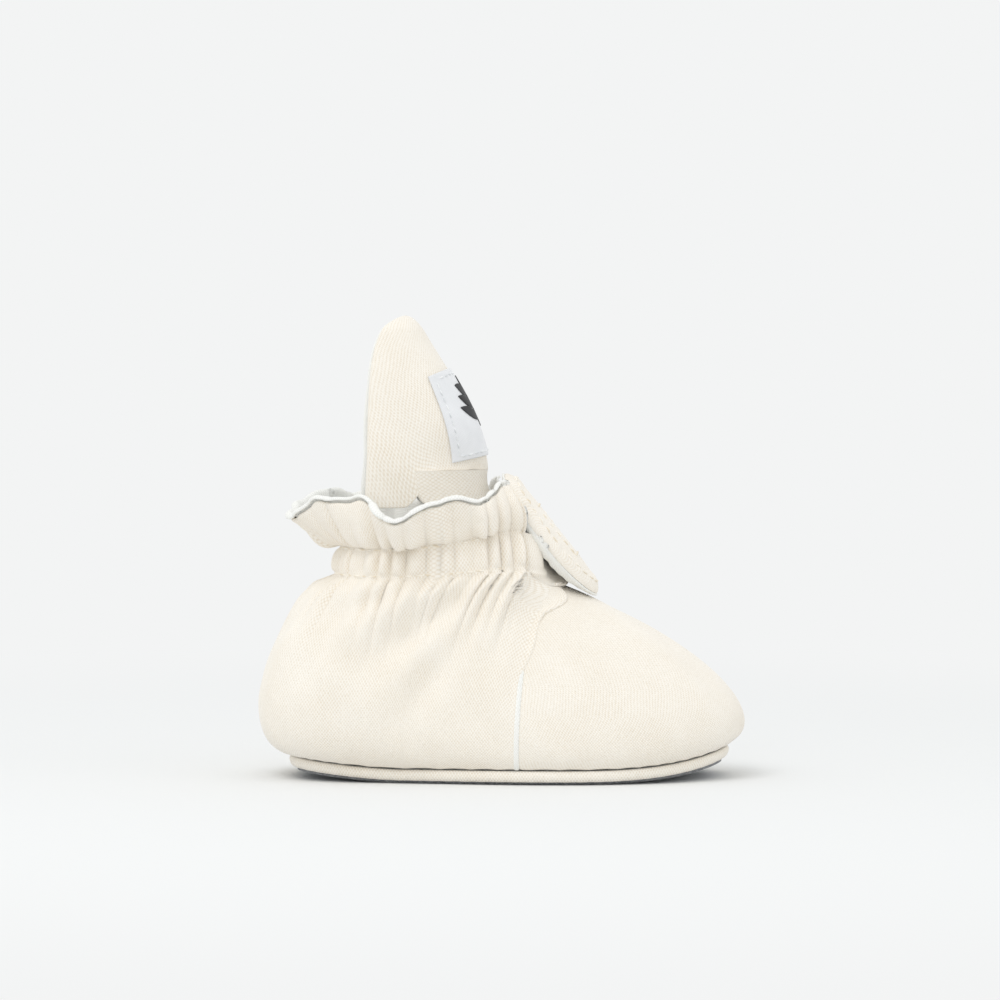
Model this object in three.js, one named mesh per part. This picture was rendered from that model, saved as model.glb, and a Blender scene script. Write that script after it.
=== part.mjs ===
// A soft baby bootie: a padded vamp, a wrap-around quarter gathered by an elastic at the ankle, a flared
// ruffle above it, a tall tongue with a woven label, a padded tab that closes across the front, and a soft
// non-slip sole. Millimetres, +Z up, toe towards +X. Every cloth layer is its own closed solid.
import * as THREE from "three";

// ---- driving dimensions -------------------------------------------------------------------------------

const CLEARANCE = 0.3; // between layers that lie on each other

const CLOTH = { outer: 0.9, lining: 0.8, vampPadding: 1.2, elastic: 0.9, thread: 0.5 };

const SOLE = {
  toeX: 54.5, // ends of the seam between the upper and the sole
  heelX: -51.5,
  ballX: 12, // widest place
  heelSeatX: -30,
  ballHalfWidth: 26.5,
  heelHalfWidth: 22.5,
  flatFrom: -25, // the underside is flat between these and rises past them
  flatTo: 14,
  toeSpring: 4.2,
  heelSpring: 2.2,
  outsole: 1.2,
  edgeBand: 1.8,
  edgeBandDepth: 3.9,
  padding: 3,
};

const ANKLE = {
  centreX: -16,
  back: 24.5, // from the centre to the back of the gathered band
  front: 29, // from the centre to the throat
  halfWidth: 20,
  backHeight: 49, // of the band's lower stitch line
  frontRise: 2.2,
  throatDrop: 3.9,
  bandFrontAngle: degrees(47), // where the gathered band ends, from the toe direction
  bandBack: 7.4, // the band's height at the back and at its front ends
  bandFront: 9.6,
  cinch: 1.6, // how much narrower the band's upper stitch line is
};

const SEAM = { soleAngle: degrees(98), topAngle: degrees(30), halfWidth: 0.55, proud: -0.25, deep: 1.6, top: 0.86 };

const RUFFLE = {
  rise: 7.5,
  frontRise: 10.5,
  flare: 10.5,
  sideFlare: 7.5,
  frontFlare: 0.5,
  waves: 6,
  wave: 1.7,
  nearEnd: degrees(2), // past the band's front end
  farEnd: degrees(12),
  cloth: 1.1,
  liningOver: 0.1, // the lining stands past the outer's rim by this share
};

const SLANT = degrees(37.8); // the front closure leans back by this much

const UNDERLAP = { aboveThroat: 1.3, lower: 1.4, height: 17.5, farInset: 6.1, bend: 60 };

const PATCH = { thickness: 0.9, height: 14, lower: 1.6, nearY: -5, farY: 7, stitchInset: -0.5 };

const TAB = {
  halfHeight: 17.2,
  rootHalfHeight: 14.5,
  aboveThroat: 11.6, // from the throat to the middle of the tab, along the slant
  hingeInset: 1.25, // from the gathered band's far front end
  endInset: 0.6, // from its near front end
  roundingY: -1, // the end is rounded past this line
  bend: 40,
  crownY: 1,
  padding: 2.0,
  lining: 0.9,
  edgeSquash: 0.42, // how much thinner the pillow is along its edge
  topstitchInset: 2.2,
  tipHalf: 3,
};

const TAB_ROOT = { reach: 4.75, thickness: 3.2, endAboveThroat: 1.2, endHalfHeight: 9, up: -3 };

const TONGUE = {
  behindThroat: 2.3, // its sewn lower edge, behind and below the throat
  belowThroat: 4.1,
  foldBack: 16.7, // the fold line at the collar, from the throat
  foldUp: 27.7,
  neckInset: 1.7, // of its lower part's edges from the throat's ends
  neckReach: degrees(45), // how far the lower part goes round the U
  neckDepth: 10,
  collarHalfWidth: 14,
  collarDepth: 29.8,
  wingFrom: degrees(52), // past this the upper part reaches down inside the collar
  wingTo: degrees(72),
  wingDrop: 9,
  height: 36.6, // above the fold line
  lean: 17.4, // how far the front of the tip stands behind the fold line
  tipDepth: 4.8,
  tipHalfWidth: 5,
  padding: 1.3,
  lining: 0.9,
};

const LABEL = { from: 0.1, to: 0.66, halfAngle: degrees(36), droop: 0.05, thickness: 0.5, stitchInset: 0.12, stitchWidth: 0.05, stitch: 0.3, gap: 0.15, motif: 0.2 };

// ---- helpers ------------------------------------------------------------------------------------------

function degrees(value) {
  return THREE.MathUtils.degToRad(value);
}

const UP = new THREE.Vector3(0, 0, 1);
const { lerp, smoothstep } = THREE.MathUtils;
const signedPower = (x, power) => Math.sign(x) * Math.abs(x) ** power;

/** A closed sheet between two surfaces. place(u, v, w) maps the unit cube; w is 0 outside and 1 inside. */
function sheet(uSteps, vSteps, place) {
  const geometry = new THREE.BoxGeometry(1, 1, 1, uSteps, vSteps, 1);
  matchDiagonals(geometry);
  const at = geometry.attributes.position;
  for (let i = 0; i < at.count; i++) {
    const p = place(at.getX(i) + 0.5, at.getY(i) + 0.5, at.getZ(i) + 0.5);
    at.setXYZ(i, p.x, p.y, p.z);
  }
  return faceOutwards(geometry);
}

/** Splits the last face's squares along the same diagonal as the face opposite, so that layers nest. */
function matchDiagonals(geometry) {
  const index = geometry.index.array;
  const { start, count } = geometry.groups[5];
  for (let i = start; i < start + count; i += 6) {
    const [a, b, d, , c] = index.slice(i, i + 6);
    index.set([a, b, c, a, c, d], i);
  }
}

/** The same sheet, closed on itself along u. */
function loop(uSteps, vSteps, place) {
  const profile = [];
  for (let j = 0; j <= vSteps; j++) profile.push(new THREE.Vector2(2, j / vSteps));
  for (let j = vSteps; j >= 0; j--) profile.push(new THREE.Vector2(1, j / vSteps));
  profile.push(profile[0].clone());
  const geometry = new THREE.LatheGeometry(profile, uSteps);
  const at = geometry.attributes.position;
  for (let i = 0; i < at.count; i++) {
    const turn = Math.floor(i / profile.length) % uSteps;
    const corner = profile[i % profile.length];
    const p = place(turn / uSteps, corner.y, 2 - corner.x);
    at.setXYZ(i, p.x, p.y, p.z);
  }
  return faceOutwards(geometry);
}

/** Turns every triangle round where the signed volume says that the faces point inwards. */
function faceOutwards(geometry) {
  const at = geometry.attributes.position;
  const index = geometry.index.array;
  const [a, b, c] = [new THREE.Vector3(), new THREE.Vector3(), new THREE.Vector3()];
  let volume = 0;
  for (let i = 0; i < index.length; i += 3) {
    a.fromBufferAttribute(at, index[i]);
    b.fromBufferAttribute(at, index[i + 1]);
    c.fromBufferAttribute(at, index[i + 2]);
    volume += a.dot(b.cross(c));
  }
  if (volume < 0) {
    for (let i = 0; i < index.length; i += 3) {
      [index[i + 1], index[i + 2]] = [index[i + 2], index[i + 1]];
    }
  }
  geometry.computeVertexNormals();
  return geometry;
}

/** A point of a surface moved off it: depth is positive towards the side that inward() names. */
function offset(surface, u, v, depth) {
  const step = 1e-3;
  const [u0, v0] = [Math.min(u, 1 - step), Math.min(v, 1 - step)];
  const p = surface(u, v);
  const base = surface(u0, v0);
  const du = surface(u0 + step, v0).sub(base);
  const dv = surface(u0, v0 + step).sub(base);
  return p.addScaledVector(du.cross(dv).normalize(), depth);
}

/** The same, kept level: for a surface whose rows are level, so that its layers end in level edges. */
function offsetLevel(surface, u, v, depth) {
  const step = 1e-3;
  const u0 = Math.min(u, 1 - step);
  const along = surface(u0 + step, v).sub(surface(u0, v)).setZ(0);
  return surface(u, v).addScaledVector(along.cross(UP).normalize(), depth);
}

const WHOLE = { u: [0, 1], v: [0, 1] };

/** A cloth layer of a surface over part of its (u, v) range, between two depths below it. */
function layer(surface, steps, [from, to], span = WHOLE, move = offset) {
  return sheet(steps[0], steps[1], (u, v, w) =>
    move(surface, lerp(...span.u, u), lerp(...span.v, v), lerp(from, to, w)),
  );
}

const root = new THREE.Group();

function add(name, geometry, colour, roughness) {
  const material = new THREE.MeshStandardMaterial({ color: colour, roughness, metalness: 0 });
  const mesh = new THREE.Mesh(geometry, material);
  mesh.name = name;
  root.add(mesh);
}

const CREAM = 0xf3ead6;
const WHITE = 0xf6f6f2;
const WADDING = 0xefeee9;
const LABEL_WHITE = 0xe2e5e8;
const MOTIF = 0x2b2b2d;
const GRIP_GREY = 0x8d8f92;

// ---- sole ---------------------------------------------------------------------------------------------

/** The seam line between the upper and the sole, seen from above. 0 is the toe, positive the near side. */
function soleOutline(angle) {
  const c = Math.cos(angle);
  const [reach, fullness] = c > 0 ? [SOLE.toeX - SOLE.ballX, 2.2] : [SOLE.ballX - SOLE.heelX, 3.4];
  const x = SOLE.ballX + reach * c;
  const blend = smoothstep(x, SOLE.heelSeatX, SOLE.ballX);
  const halfWidth = lerp(SOLE.heelHalfWidth, SOLE.ballHalfWidth, blend);
  const round = (1 - Math.abs(c) ** fullness) ** (1 / fullness);
  return new THREE.Vector3(x, -halfWidth * Math.sign(Math.sin(angle)) * round, 0);
}

/** The height of the sole's underside at x. */
function soleRise(x) {
  if (x > SOLE.flatTo) return SOLE.toeSpring * ((x - SOLE.flatTo) / (SOLE.toeX - SOLE.flatTo)) ** 3;
  if (x < SOLE.flatFrom) return SOLE.heelSpring * ((SOLE.flatFrom - x) / (SOLE.flatFrom - SOLE.heelX)) ** 1.5;
  return 0;
}

/** The outline moved inwards, with the same angles. */
function insetOutline(angle, inset) {
  const step = 1e-3;
  const p = soleOutline(angle);
  const along = soleOutline(angle + step).sub(soleOutline(angle - step)).normalize();
  return new THREE.Vector3(p.x + along.y * inset, p.y - along.x * inset, 0);
}

const SOLE_END = degrees(4); // the sole's end rows stop this short of the very ends

/** One layer of the sole: rows across it, with the flat part's borders as rows of their own. */
function soleLayer(inset, from, to) {
  const rows = 28;
  return sheet(rows, 2, (u, v, w) => {
    const angle = lerp(Math.PI - SOLE_END, SOLE_END, u);
    const edge = insetOutline(angle, inset);
    const x = nearestBorder(edge.x);
    return new THREE.Vector3(x, lerp(edge.y, -edge.y, v), soleRise(x) + lerp(from, to, w));
  });
}

/** Moves a row onto the flat part's border where it lies close to it. */
function nearestBorder(x) {
  const border = [SOLE.flatFrom, SOLE.flatTo].find((b) => Math.abs(b - x) < 1.2);
  return border ?? x;
}

const SOLE_LEVEL = {
  paddingFrom: SOLE.outsole + CLEARANCE,
  upperFrom: SOLE.outsole + CLEARANCE + SOLE.edgeBand + CLEARANCE,
};
SOLE_LEVEL.paddingTo = SOLE_LEVEL.paddingFrom + SOLE.padding;
SOLE_LEVEL.insoleFrom = SOLE_LEVEL.paddingTo + CLEARANCE;

add("outsole", soleLayer(0, 0, SOLE.outsole), GRIP_GREY, 0.95);
add("sole_padding", soleLayer(SOLE.edgeBandDepth + CLEARANCE, SOLE_LEVEL.paddingFrom, SOLE_LEVEL.paddingTo), WADDING, 1);
add(
  "insole_lining",
  soleLayer(SOLE.edgeBandDepth + CLEARANCE, SOLE_LEVEL.insoleFrom, SOLE_LEVEL.insoleFrom + CLOTH.lining),
  WHITE,
  0.95,
);
add(
  "sole_edge_band",
  loop(44, 1, (u, v, w) => {
    const edge = insetOutline(u * 2 * Math.PI, w * SOLE.edgeBandDepth);
    const level = SOLE_LEVEL.paddingFrom + v * SOLE.edgeBand;
    return edge.setZ(soleRise(edge.x) + level);
  }),
  CREAM,
  0.95,
);

// ---- upper --------------------------------------------------------------------------------------------

/** The band's lower (level 0) and upper (level 1) stitch lines, and the throat between its front ends. */
function ankleRing(angle, level) {
  const [c, s] = [Math.cos(angle), Math.sin(angle)];
  const reach = (c > 0 ? ANKLE.front : ANKLE.back) - level * ANKLE.cinch;
  const x = ANKLE.centreX + reach * signedPower(c, 0.7);
  const y = -(ANKLE.halfWidth - level * ANKLE.cinch) * signedPower(s, 0.85);
  const forward = smoothstep(c, -0.3, 0.6);
  const dip = smoothstep(c, 0.62, 0.88) * ANKLE.throatDrop;
  const lower = ANKLE.backHeight + ANKLE.frontRise * forward - dip;
  return new THREE.Vector3(x, y, lower + level * lerp(ANKLE.bandBack, ANKLE.bandFront, forward));
}

/** The ring angle that a meridian reaches, from its angle at the sole. */
function topAngle(angle) {
  const a = Math.abs(angle);
  if (a < SEAM.soleAngle) return Math.sign(angle) * SEAM.topAngle * (a / SEAM.soleAngle);
  const share = ((a - SEAM.soleAngle) / (Math.PI - SEAM.soleAngle)) ** 0.8;
  return Math.sign(angle) * lerp(SEAM.topAngle, Math.PI, share);
}

/** How far a meridian's control points stand out from the sole line and below the ring, by direction. */
const BULGE = {
  toe: { low: 12.5, lowUp: 4.2, high: -0.5, highDown: 16 },
  side: { low: 6.5, lowUp: 6, high: -3.5, highDown: 11 },
  heel: { low: 14.5, lowUp: 0.3, high: 8.8, highDown: 12 },
};

function meridian(turn) {
  const angle = turn > Math.PI ? turn - 2 * Math.PI : turn;
  const foot = soleOutline(angle);
  foot.z = soleRise(foot.x) + SOLE_LEVEL.upperFrom;
  const top = ankleRing(topAngle(angle), 0);
  const outside = insetOutline(angle, -1).sub(soleOutline(angle)).setZ(0);
  const toe = Math.max(0, Math.cos(angle)) ** 1.5;
  const heel = Math.max(0, -Math.cos(angle)) ** 1.5;
  const mix = (key) => toe * BULGE.toe[key] + heel * BULGE.heel[key] + (1 - toe - heel) * BULGE.side[key];
  const low = foot.clone().addScaledVector(outside, mix("low"));
  low.z += mix("lowUp");
  const high = foot.clone().addScaledVector(outside, mix("high"));
  high.z = top.z - mix("highDown");
  return new THREE.CubicBezierCurve3(foot, low, high, top);
}

/** A surface of the upper between two sole angles, from the sole (v = 0) to its top edge (v = 1). */
function upper(from, to) {
  return (u, v) => meridian(lerp(from, to, u)).getPoint(v);
}

const seamGap = SEAM.halfWidth / SOLE.ballHalfWidth; // the angle that half the seam edge takes
const vamp = upper(-(SEAM.soleAngle - 2 * seamGap), SEAM.soleAngle - 2 * seamGap);
const vampLevels = stack(CLOTH.outer, CLOTH.vampPadding, CLOTH.lining);
const quarter = upper(SEAM.soleAngle + 2 * seamGap, 2 * Math.PI - SEAM.soleAngle - 2 * seamGap);
const quarterLevels = stack(CLOTH.outer, CLOTH.lining);

/** The [from, to] depths of layers that lie on each other with the clearance between them. */
function stack(...thicknesses) {
  let depth = 0;
  return thicknesses.map((thickness) => {
    const from = depth;
    depth = from + thickness + CLEARANCE;
    return [from, from + thickness];
  });
}

add("vamp_outer", layer(vamp, [18, 8], vampLevels[0]), CREAM, 0.95);

add("vamp_padding", layer(vamp, [18, 8], vampLevels[1]), WADDING, 1);
add("vamp_lining", layer(vamp, [18, 8], vampLevels[2]), WHITE, 0.95);
add("quarter_outer", layer(quarter, [30, 8], quarterLevels[0]), CREAM, 0.95);
add("quarter_lining", layer(quarter, [30, 8], quarterLevels[1]), WHITE, 0.95);

/** The quarter lining's turned edge, which shows as a white line in the side seam. */
function seamEdge(angle) {
  const surface = upper(angle - 1.5 * seamGap, angle + 1.5 * seamGap);
  return layer(surface, [1, 10], [SEAM.proud, SEAM.deep], { u: [0, 1], v: [0, SEAM.top] });
}

add("side_seam_edge_near", seamEdge(SEAM.soleAngle), WHITE, 0.9);
add("side_seam_edge_far", seamEdge(2 * Math.PI - SEAM.soleAngle), WHITE, 0.9);

// ---- gathered band ------------------------------------------------------------------------------------

const band = (u, v) => ankleRing(lerp(ANKLE.bandFrontAngle, 2 * Math.PI - ANKLE.bandFrontAngle, u), v);
const bandLevels = stack(CLOTH.outer, CLOTH.elastic, CLOTH.lining);
const bandEdge = CLEARANCE / ANKLE.bandBack; // the share of the band's height that the clearance takes
const bandSpan = { u: [0, 1], v: [2 * bandEdge, 1 - bandEdge] };
const elasticSpan = { u: [0.02, 0.98], v: [4 * bandEdge, 1 - 3 * bandEdge] };
const threadShare = CLOTH.thread / ANKLE.bandBack;

add("gathered_band_outer", layer(band, [36, 1], bandLevels[0], bandSpan), CREAM, 0.95);
add("ankle_elastic", layer(band, [36, 1], bandLevels[1], elasticSpan), WHITE, 0.7);
add("gathered_band_lining", layer(band, [36, 1], bandLevels[2], bandSpan), WHITE, 0.95);

/** A row of stitches that lies on the band at a level of it. */
function bandStitch(level) {
  const span = { u: [0, 0.985], v: [level - threadShare / 2, level + threadShare / 2] };
  return layer(band, [40, 1], [-CLOTH.thread - CLEARANCE, -CLEARANCE], span);
}

add("band_stitch_lower", bandStitch(3 * bandEdge), CREAM, 0.8);
add("band_stitch_upper", bandStitch(1 - 2 * bandEdge), CREAM, 0.8);

// ---- ruffle -------------------------------------------------------------------------------------------

/** The flared frill above the band: v runs from the upper stitch line to the rim. */
function ruffle(u, v) {
  const nearEnd = ANKLE.bandFrontAngle + RUFFLE.nearEnd;
  const angle = lerp(nearEnd, 2 * Math.PI - ANKLE.bandFrontAngle - RUFFLE.farEnd, u);
  const p = ankleRing(angle, 1);
  const outside = new THREE.Vector3(Math.cos(angle), -Math.sin(angle), 0);
  const back = Math.max(0, -Math.cos(angle));
  const front = smoothstep(Math.cos(angle), 0.1, Math.cos(nearEnd));
  const flare = lerp(lerp(RUFFLE.sideFlare, RUFFLE.flare, back), RUFFLE.frontFlare, front);
  const rise = lerp(RUFFLE.rise, RUFFLE.frontRise, front);
  const phase = u * 2 * Math.PI * RUFFLE.waves;
  const wave = RUFFLE.wave * v * (1 - front);
  p.addScaledVector(outside, flare * v + wave * Math.sin(phase));
  p.z += CLEARANCE + rise * v ** 0.8 + wave * Math.cos(phase);
  return p;
}

const ruffleLevels = stack(RUFFLE.cloth, RUFFLE.cloth);
add("ruffle_outer", layer(ruffle, [48, 3], ruffleLevels[0]), CREAM, 0.95);
add("ruffle_lining", layer(ruffle, [48, 3], ruffleLevels[1], { u: [0, 1], v: [0, 1 + RUFFLE.liningOver] }), WHITE, 0.95);

// ---- front closure ------------------------------------------------------------------------------------

/** A point of the slanted front: s up the slant, y across it, q off it. */
function slanted(s, y, q) {
  const [c, k] = [Math.cos(SLANT), Math.sin(SLANT)];
  return new THREE.Vector3(q * c - s * k, y, q * k + s * c);
}

const throat = ankleRing(0, 0);
const throatS = -throat.x * Math.sin(SLANT) + throat.z * Math.cos(SLANT);
const throatQ = throat.x * Math.cos(SLANT) + throat.z * Math.sin(SLANT);

const LEVEL = { underlap: throatQ + UNDERLAP.aboveThroat };
LEVEL.loop = LEVEL.underlap + CLEARANCE + PATCH.thickness;
LEVEL.hook = LEVEL.loop + CLEARANCE + PATCH.thickness;
const tabLevels = stack(CLOTH.outer, TAB.padding, TAB.lining);
const tabThickness = tabLevels[2][1];
LEVEL.tab = LEVEL.hook + CLEARANCE + tabThickness;

// Across the front, everything is placed from the ends of the gathered band.
const bandEndY = -ankleRing(ANKLE.bandFrontAngle, 1).y;
const hingeY = bandEndY - TAB.hingeInset;
const tabEndY = -(bandEndY - TAB.endInset);
const tabRootEndY = hingeY + TAB_ROOT.reach;
const underlapNearY = -(bandEndY - bandLevels[2][1] - CLEARANCE);
const underlapFarY = bandEndY - UNDERLAP.farInset;

const bent = (y, radius) => (y - TAB.crownY) ** 2 / (2 * radius);

/** One layer of the near quarter's front end, which lies under the tab. */
function underlapLayer([from, to]) {
  return sheet(8, 4, (u, v, w) => {
    const y = lerp(underlapNearY, underlapFarY, u);
    const s = throatS + UNDERLAP.lower + UNDERLAP.height * v;
    return slanted(s, y, LEVEL.underlap - bent(y, UNDERLAP.bend) - lerp(from, to, w));
  });
}

const underlapLevels = stack(CLOTH.outer, CLOTH.lining);
add("front_underlap_outer", underlapLayer(underlapLevels[0]), CREAM, 0.95);
add("front_underlap_lining", underlapLayer(underlapLevels[1]), WHITE, 0.95);

/** A hook or loop patch: both follow the tab's bend, with their outer face at a level. */
function patch(level) {
  return sheet(6, 3, (u, v, w) => {
    const y = lerp(PATCH.nearY, PATCH.farY, u);
    const s = throatS + UNDERLAP.lower + PATCH.lower + PATCH.height * v;
    return slanted(s, y, level - bent(y, TAB.bend) - PATCH.thickness * w);
  });
}

add("loop_patch", patch(LEVEL.loop), WHITE, 1);
add("hook_patch", patch(LEVEL.hook), WHITE, 1);

/** Half the tab's height along the slant, at y. */
function tabHalf(y) {
  const grown = lerp(TAB.halfHeight, TAB.rootHalfHeight, smoothstep(y, TAB.roundingY, hingeY));
  const round = Math.max(0, (TAB.roundingY - y) / (TAB.roundingY - tabEndY));
  return Math.max(TAB.tipHalf, grown * (1 - round ** 2.2) ** (1 / 2.2));
}

/** The tab's place across the front: half the steps run to the rounding, half go round the end. */
function tabY(u) {
  if (u < 0.5) return lerp(hingeY, TAB.roundingY, 2 * u);
  return lerp(TAB.roundingY, tabEndY, Math.sin((2 * u - 1) * (Math.PI / 2)));
}

const tabS = throatS + TAB.aboveThroat;

/** A point of the tab at a depth below its outer face; the pillow grows thinner towards its edge. */
function tabPoint(y, across, depth) {
  const round = Math.max(0, (TAB.roundingY - y) / (TAB.roundingY - tabEndY));
  const edge = Math.max(Math.abs(across), round) ** 4;
  const middle = tabThickness / 2;
  const squashed = middle + (depth - middle) * (1 - TAB.edgeSquash * Math.min(1, edge));
  return slanted(tabS + tabHalf(y) * across, y, LEVEL.tab - bent(y, TAB.bend) - squashed);
}

/** One layer of the tab, held back from its edge by an inset share. */
function tabLayer([from, to], reach) {
  return sheet(12, 6, (u, v, w) => tabPoint(tabY(u * reach), (2 * v - 1) * reach, lerp(from, to, w)));
}

add("tab_outer", tabLayer(tabLevels[0], 1), CREAM, 0.95);
add("tab_padding", tabLayer(tabLevels[1], 0.92), WADDING, 1);
add("tab_lining", tabLayer(tabLevels[2], 1), WHITE, 0.95);

/** A row of stitches on the tab's outer face. route(u, side) gives [y, across] at its two edges. */
const tabThread = (route) => (u, v, w) => {
  const [y, across] = route(u, v);
  return tabPoint(y, across, -CLEARANCE - CLOTH.thread * (1 - w));
};

add(
  "tab_topstitch",
  sheet(
    40,
    1,
    tabThread((u, v) => {
      const inset = TAB.topstitchInset + (v - 0.5) * CLOTH.thread;
      const straight = hingeY - 2 * CLEARANCE - TAB.roundingY;
      const share = straight / (straight + (TAB.roundingY - tabEndY));
      const along = Math.abs(2 * u - 1);
      const keep = 1 - inset / TAB.halfHeight;
      if (along > 1 - share) {
        const y = TAB.roundingY + straight * ((along - 1 + share) / share);
        return [y, Math.sign(0.5 - u) * keep];
      }
      const round = (Math.PI / 2) * (1 - along / (1 - share));
      const y = TAB.roundingY + (tabEndY + inset - TAB.roundingY) * Math.sin(round);
      return [y, Math.sign(0.5 - u) * Math.min(keep, (keep * TAB.halfHeight * Math.cos(round)) / tabHalf(y))];
    }),
  ),
  CREAM,
  0.8,
);

/** The corners of a closed box seam, walked once round as u goes from 0 to 1. */
function boxRoute(u, inset) {
  const corner = Math.floor(u * 4) % 4;
  const along = (u * 4) % 1;
  const square = [
    [-1, -1],
    [1, -1],
    [1, 1],
    [-1, 1],
  ];
  const [from, to] = [square[corner], square[(corner + 1) % 4]];
  return [lerp(from[0], to[0], along), lerp(from[1], to[1], along), inset];
}

add(
  "patch_stitching",
  loop(
    24,
    1,
    tabThread((u, v) => {
      const [across, up] = boxRoute(u);
      const inset = PATCH.stitchInset + v * CLOTH.thread;
      const y = (PATCH.nearY + PATCH.farY) / 2 + across * ((PATCH.farY - PATCH.nearY) / 2 - inset);
      const s = throatS + UNDERLAP.lower + PATCH.lower + PATCH.height / 2 + up * (PATCH.height / 2 - inset);
      return [y, (s - tabS) / tabHalf(y)];
    }),
  ),
  CREAM,
  0.8,
);

/** The far quarter's front end, sewn through, which carries the tab at its fold. */
add(
  "tab_root",
  sheet(5, 5, (u, v, w) => {
    const face = LEVEL.tab - bent(hingeY, TAB.bend);
    const start = new THREE.Vector2(hingeY + CLEARANCE, face - w * tabThickness);
    const bend = new THREE.Vector2(tabRootEndY - w * TAB_ROOT.thickness, face - w * tabThickness);
    const end = new THREE.Vector2(tabRootEndY - w * TAB_ROOT.thickness, throatQ + TAB_ROOT.endAboveThroat);
    const p = new THREE.QuadraticBezierCurve(start, bend, end).getPoint(u);
    const half = lerp(TAB.rootHalfHeight, TAB_ROOT.endHalfHeight, u);
    return slanted(tabS + TAB_ROOT.up * u + half * (2 * v - 1), p.x, p.y);
  }),
  CREAM,
  0.95,
);

// ---- tongue -------------------------------------------------------------------------------------------

const fold = new THREE.Vector3(throat.x - TONGUE.foldBack, 0, throat.z + TONGUE.foldUp);
const tongueRoot = new THREE.Vector3(throat.x - TONGUE.behindThroat, 0, throat.z - TONGUE.belowThroat);
const lowerFront = new THREE.CubicBezierCurve3(
  tongueRoot,
  tongueRoot.clone().add(new THREE.Vector3(-0.7, 0, 7.8)),
  fold.clone().add(new THREE.Vector3(-2.3, 0, -9)),
  fold,
);
const tip = fold.clone().add(new THREE.Vector3(-TONGUE.lean, 0, TONGUE.height));
const upperFront = new THREE.CubicBezierCurve3(
  fold,
  fold.clone().add(new THREE.Vector3(-0.2, 0, 0.3 * TONGUE.height)),
  tip.clone().add(new THREE.Vector3(6.2, 0, -0.33 * TONGUE.height)),
  tip,
);

/** A point of a U-shaped slice, turned round from its front: at a right angle it is depth behind the front. */
function slice(turn, front, depth, halfWidth, up) {
  return new THREE.Vector3(front.x - depth * (1 - Math.cos(turn)), -halfWidth * Math.sin(turn), front.z + up);
}

const neckRootHalfWidth = (-ankleRing(SEAM.topAngle, 0).y - TONGUE.neckInset) / Math.sin(TONGUE.neckReach);

const tongueLower = (u, v) =>
  slice(
    TONGUE.neckReach * (2 * u - 1),
    lowerFront.getPoint(v),
    lerp(TONGUE.neckDepth, TONGUE.collarDepth, smoothstep(v, 0.1, 0.82)),
    lerp(neckRootHalfWidth, TONGUE.collarHalfWidth, v),
    0,
  );

const tongueUpper = (u, v) => {
  const turn = Math.PI * (u - 0.5);
  const narrow = (1 - v ** 2.6) ** 0.5;
  const wing = smoothstep(Math.abs(turn), TONGUE.wingFrom, TONGUE.wingTo) * (1 - v) ** 4;
  return slice(
    turn,
    upperFront.getPoint(v),
    lerp(TONGUE.tipDepth, TONGUE.collarDepth, (1 - v ** 1.5) ** 0.8),
    lerp(TONGUE.tipHalfWidth, TONGUE.collarHalfWidth, narrow),
    0.8 * v ** 2 * (1 - Math.cos(turn)) - TONGUE.wingDrop * wing,
  );
};

const tongueLevels = stack(CLOTH.outer, TONGUE.padding, TONGUE.lining);
const foldShare = CLEARANCE / 2 / TONGUE.height;
const names = ["outer", "padding", "lining"];
const looks = [CREAM, WADDING, WHITE];
names.forEach((name, i) => {
  const held = name === "padding" ? 1 : 0; // the padding ends one step short of the sewn edges
  const below = { u: [held / 8, 1 - held / 8], v: [held / 5, 1 - foldShare] };
  const above = { u: [held / 12, 1 - held / 12], v: [foldShare, 1 - held / 8] };
  const lower = layer(tongueLower, [8 - 2 * held, 5 - held], tongueLevels[i], below, offsetLevel);
  const raised = layer(tongueUpper, [12 - 2 * held, 8 - held], tongueLevels[i], above, offsetLevel);
  add("tongue_lower_" + name, lower, looks[i], 0.95);
  add("tongue_upper_" + name, raised, looks[i], 0.95);
});

// ---- label --------------------------------------------------------------------------------------------

/** The tongue's front under the label: u across, v up; the label's rows droop to the sides. */
function labelGround(u, v) {
  const across = 2 * u - 1;
  const share = LABEL.halfAngle / Math.PI;
  return tongueUpper(0.5 + share * across, lerp(LABEL.from, LABEL.to, v) - LABEL.droop * across ** 2);
}

const labelTop = -CLEARANCE - LABEL.thickness;
add("woven_label", layer(labelGround, [8, 4], [labelTop, -CLEARANCE]), LABEL_WHITE, 0.5);
add(
  "label_stitching",
  loop(32, 1, (u, v, w) => {
    const [across, up] = boxRoute(u);
    const reach = 1 - LABEL.stitchInset - LABEL.stitchWidth * (1 - v);
    const top = labelTop - LABEL.gap;
    return offset(labelGround, 0.5 + 0.5 * across * reach, 0.5 + 0.5 * up * reach, lerp(top - LABEL.stitch, top, w));
  }),
  WHITE,
  0.6,
);
add(
  "label_motif",
  sheet(4, 4, (u, v, w) => {
    const [x, y] = [2 * u - 1, 2 * v - 1];
    const round = 1 - 0.3 * Math.min(Math.abs(x), Math.abs(y)) ** 2;
    const top = labelTop - LABEL.gap;
    const at = [0.5 + LABEL.motif * x * round, 0.5 + LABEL.motif * y * round];
    return offset(labelGround, ...at, lerp(top - LABEL.stitch, top, w));
  }),
  MOTIF,
  0.7,
);

// ---- the whole bootie stands centred on the origin ----------------------------------------------------

const extent = new THREE.Box3().setFromObject(root);
const middle = extent.getCenter(new THREE.Vector3());
root.position.set(-middle.x, -middle.y, -extent.min.z);

export default root;
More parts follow.
